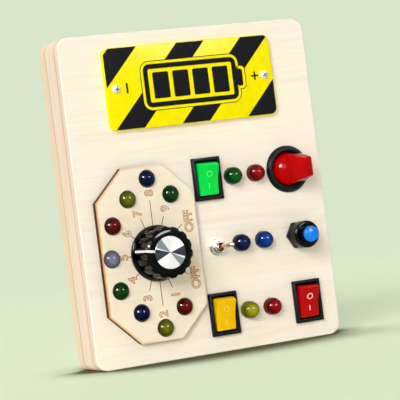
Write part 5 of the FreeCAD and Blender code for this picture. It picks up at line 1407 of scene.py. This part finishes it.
# Paper cove: floor that bends up into a far wall. The camera, metal and glass see its
# green; light that it throws back on the object stays neutral.
def makeStage(look):
    material, tree, surface, where = newMaterial("paper_cove", Roughness=0.9,
                                                 Specular_IOR_Level=0.1)
    mottled = addNode(tree, "ShaderNodeTexNoise", {
        "Vector": where, "Scale": 3.0, "Detail": 2.0})
    base = toLinear(look["floor"])
    shade = tuple(c * 0.97 for c in base[:3]) + (1.0,)
    paper = addNode(tree, "ShaderNodeMix", {
        "Factor": mottled.outputs["Fac"], 6: base, 7: shade}, data_type="RGBA")
    # the paper darkens where the board keeps the light off it
    openness = addNode(tree, "ShaderNodeAmbientOcclusion", {"Distance": look["contactReach"]},
                       samples=32)
    clear = addNode(tree, "ShaderNodeMapRange", {
        "Value": openness.outputs["AO"], "From Min": 0.55, "From Max": 0.9},
        interpolation_type="SMOOTHSTEP")
    shaded = addNode(tree, "ShaderNodeMix", {
        "Factor": clear.outputs[0], 6: toLinear(look["contact"]), 7: paper.outputs[2]},
        data_type="RGBA")
    path = addNode(tree, "ShaderNodeLightPath")
    direct = addNode(tree, "ShaderNodeMath", {
        0: path.outputs["Is Camera Ray"], 1: path.outputs["Is Glossy Ray"]},
        operation="MAXIMUM")
    seen = addNode(tree, "ShaderNodeMath", {
        0: direct.outputs[0], 1: path.outputs["Is Transmission Ray"]}, operation="MAXIMUM")
    colour = addNode(tree, "ShaderNodeMix", {
        "Factor": seen.outputs[0], 6: toLinear(look["bounce"]), 7: shaded.outputs[2]},
        data_type="RGBA")
    tree.links.new(colour.outputs[2], surface.inputs["Base Color"])
    reach = addNode(tree, "ShaderNodeVectorMath", {0: where}, operation="LENGTH")
    fade = addNode(tree, "ShaderNodeMapRange", {
        "Value": reach.outputs["Value"], "From Min": look["fadeFrom"],
        "From Max": look["fadeTo"], "To Min": look["evenNear"]},
        interpolation_type="SMOOTHSTEP")
    share = addNode(tree, "ShaderNodeMath", {0: fade.outputs[0], 1: seen.outputs[0]},
                    operation="MULTIPLY")
    even = addNode(tree, "ShaderNodeEmission", {"Color": toLinear(look["far"])})
    mixed = addNode(tree, "ShaderNodeMixShader", {
        0: share.outputs[0], 1: surface.outputs[0], 2: even.outputs[0]})
    tree.links.new(mixed.outputs[0], tree.nodes["Material Output"].inputs["Surface"])
    shape = bmesh.new()
    points = [(look["front"], 0.0)]
    for step in range(17):
        angle = math.radians(-90 + 90 * step / 16)
        points.append((look["wallY"] - look["bend"] + look["bend"] * math.cos(angle),
                       look["bend"] + look["bend"] * math.sin(angle)))
    points.append((look["wallY"], look["wallHigh"]))
    verts = [shape.verts.new((-look["halfWide"], y, z)) for y, z in points]
    edges = [shape.edges.new(pair) for pair in zip(verts, verts[1:])]
    pushed = bmesh.ops.extrude_edge_only(shape, edges=edges)
    for vert in [v for v in pushed["geom"] if isinstance(v, bmesh.types.BMVert)]:
        vert.co.x = look["halfWide"]
    mesh = bpy.data.meshes.new("cove")
    bmesh.ops.recalc_face_normals(shape, faces=shape.faces)
    shape.to_mesh(mesh)
    shape.free()
    mesh.materials.append(material)
    mesh.shade_smooth()
    cove = bpy.data.objects.new("cove", mesh)
    bpy.context.scene.collection.objects.link(cove)


makeStage(stageLook)

# Far lamps, by the direction that they shine from. The wide ones light the board softly.
# The glints are seen only as reflections, as two small windows are in a lens.
lightLook = {
    "lamps": {
        "key": {"from": (-0.62, -0.68, 0.39), "strength": 2.0, "spread": 32.0},
        "top": {"from": (-0.15, 0.22, 0.96), "strength": 0.8, "spread": 16.0},
        "fill": {"from": (0.618, -0.497, 0.62), "strength": 0.14, "spread": 40.0},
        "back": {"from": (0.35, 0.8, 0.55), "strength": 0.3, "spread": 40.0},
    },
    "glints": {
        "glintLeft": {"from": (-0.827, -0.342, 0.444), "strength": 14.0, "spread": 21.0},
        "glintRight": {"from": (0.301, -0.896, 0.324), "strength": 4.5, "spread": 18.0},
    },
    "worldColour": "#FFFFFF",
    "worldStrength": 0.32,
    "skyLow": "#DAE6C9",
    "skyHigh": "#EEF1EA",
}


def makeLights(look):
    for name, values in (look["lamps"] | look["glints"]).items():
        lamp = bpy.data.lights.new(name, "SUN")
        lamp.energy = values["strength"]
        lamp.angle = math.radians(values["spread"])
        spot = bpy.data.objects.new(name, lamp)
        spot.location = values["from"]
        spot.visible_diffuse = name not in look["glints"]
        spot.rotation_mode = "QUATERNION"
        spot.rotation_quaternion = Vector(values["from"]).to_track_quat("Z", "Y")
        bpy.context.scene.collection.objects.link(spot)
    world = bpy.data.worlds.new("studio")
    world.use_nodes = True
    tree = world.node_tree
    light = tree.nodes["Background"]
    light.inputs["Color"].default_value = toLinear(look["worldColour"])
    light.inputs["Strength"].default_value = look["worldStrength"]
    # the camera, metal and glass see a pale backdrop that meets the floor's colour
    direction = addNode(tree, "ShaderNodeTexCoord").outputs["Generated"]
    parts = addNode(tree, "ShaderNodeSeparateXYZ", {0: direction})
    rise = addNode(tree, "ShaderNodeMapRange", {
        "Value": parts.outputs["Z"], "From Min": 0.0, "From Max": 0.7})
    sky = addNode(tree, "ShaderNodeMix", {
        "Factor": rise.outputs[0], 6: toLinear(look["skyLow"]), 7: toLinear(look["skyHigh"])},
        data_type="RGBA")
    backdrop = addNode(tree, "ShaderNodeBackground", {"Color": sky.outputs[2]})
    path = addNode(tree, "ShaderNodeLightPath")
    direct = addNode(tree, "ShaderNodeMath", {
        0: path.outputs["Is Camera Ray"], 1: path.outputs["Is Glossy Ray"]},
        operation="MAXIMUM")
    seen = addNode(tree, "ShaderNodeMath", {
        0: direct.outputs[0], 1: path.outputs["Is Transmission Ray"]}, operation="MAXIMUM")
    mixed = addNode(tree, "ShaderNodeMixShader", {
        0: seen.outputs[0], 1: light.outputs[0], 2: backdrop.outputs[0]})
    tree.links.new(mixed.outputs[0], tree.nodes["World Output"].inputs["Surface"])
    bpy.context.scene.world = world


makeLights(lightLook)

# The camera stands to the board's left at its middle height; its roll tips the board.
cameraLook = {
    "turn": 25.0,
    "pitch": 0.16,
    "roll": -7.24,
    "distance": 0.918,
    "lens": 168.75,
    "sensor": 36.0,
    "faceMiddle": (202.7, 189.9),
    "frameSize": 400.0,
}


def makeCamera(look):
    turn = math.radians(look["turn"])
    roll = Matrix.Rotation(math.radians(look["roll"]), 3, "Z")
    pitch = Matrix.Rotation(math.radians(look["pitch"]), 3, "X")
    tilt = roll @ pitch
    # the row axes as seen by a camera with x right, y down and z forwards
    right = tilt @ Vector((math.cos(turn), 0, math.sin(turn)))
    inward = tilt @ Vector((-math.sin(turn), 0, math.cos(turn)))
    up = tilt @ Vector((0, -1, 0))
    toView = Matrix((right, inward, up)).transposed()
    focal = look["lens"] / look["sensor"] * look["frameSize"]
    half = look["frameSize"] / 2
    spot = Vector(((look["faceMiddle"][0] - half) / focal, (look["faceMiddle"][1] - half) / focal,
                   1)) * look["distance"]
    faceCentre = Vector((0, boardPlace["faceY"], 0.08))
    fromView = toView.transposed()
    place = faceCentre - fromView @ spot
    flip = Matrix(((1, 0, 0), (0, -1, 0), (0, 0, -1)))
    camera = bpy.data.cameras.new("camera")
    camera.lens = look["lens"]
    camera.sensor_width = look["sensor"]
    camera.clip_start = 0.05
    camera.clip_end = 20
    viewer = bpy.data.objects.new("camera", camera)
    viewer.matrix_world = Matrix.Translation(place) @ (fromView @ flip).to_4x4()
    bpy.context.scene.collection.objects.link(viewer)
    bpy.context.scene.camera = viewer


makeCamera(cameraLook)
bpy.context.scene.view_settings.view_transform = "Standard"
print("stage ready")
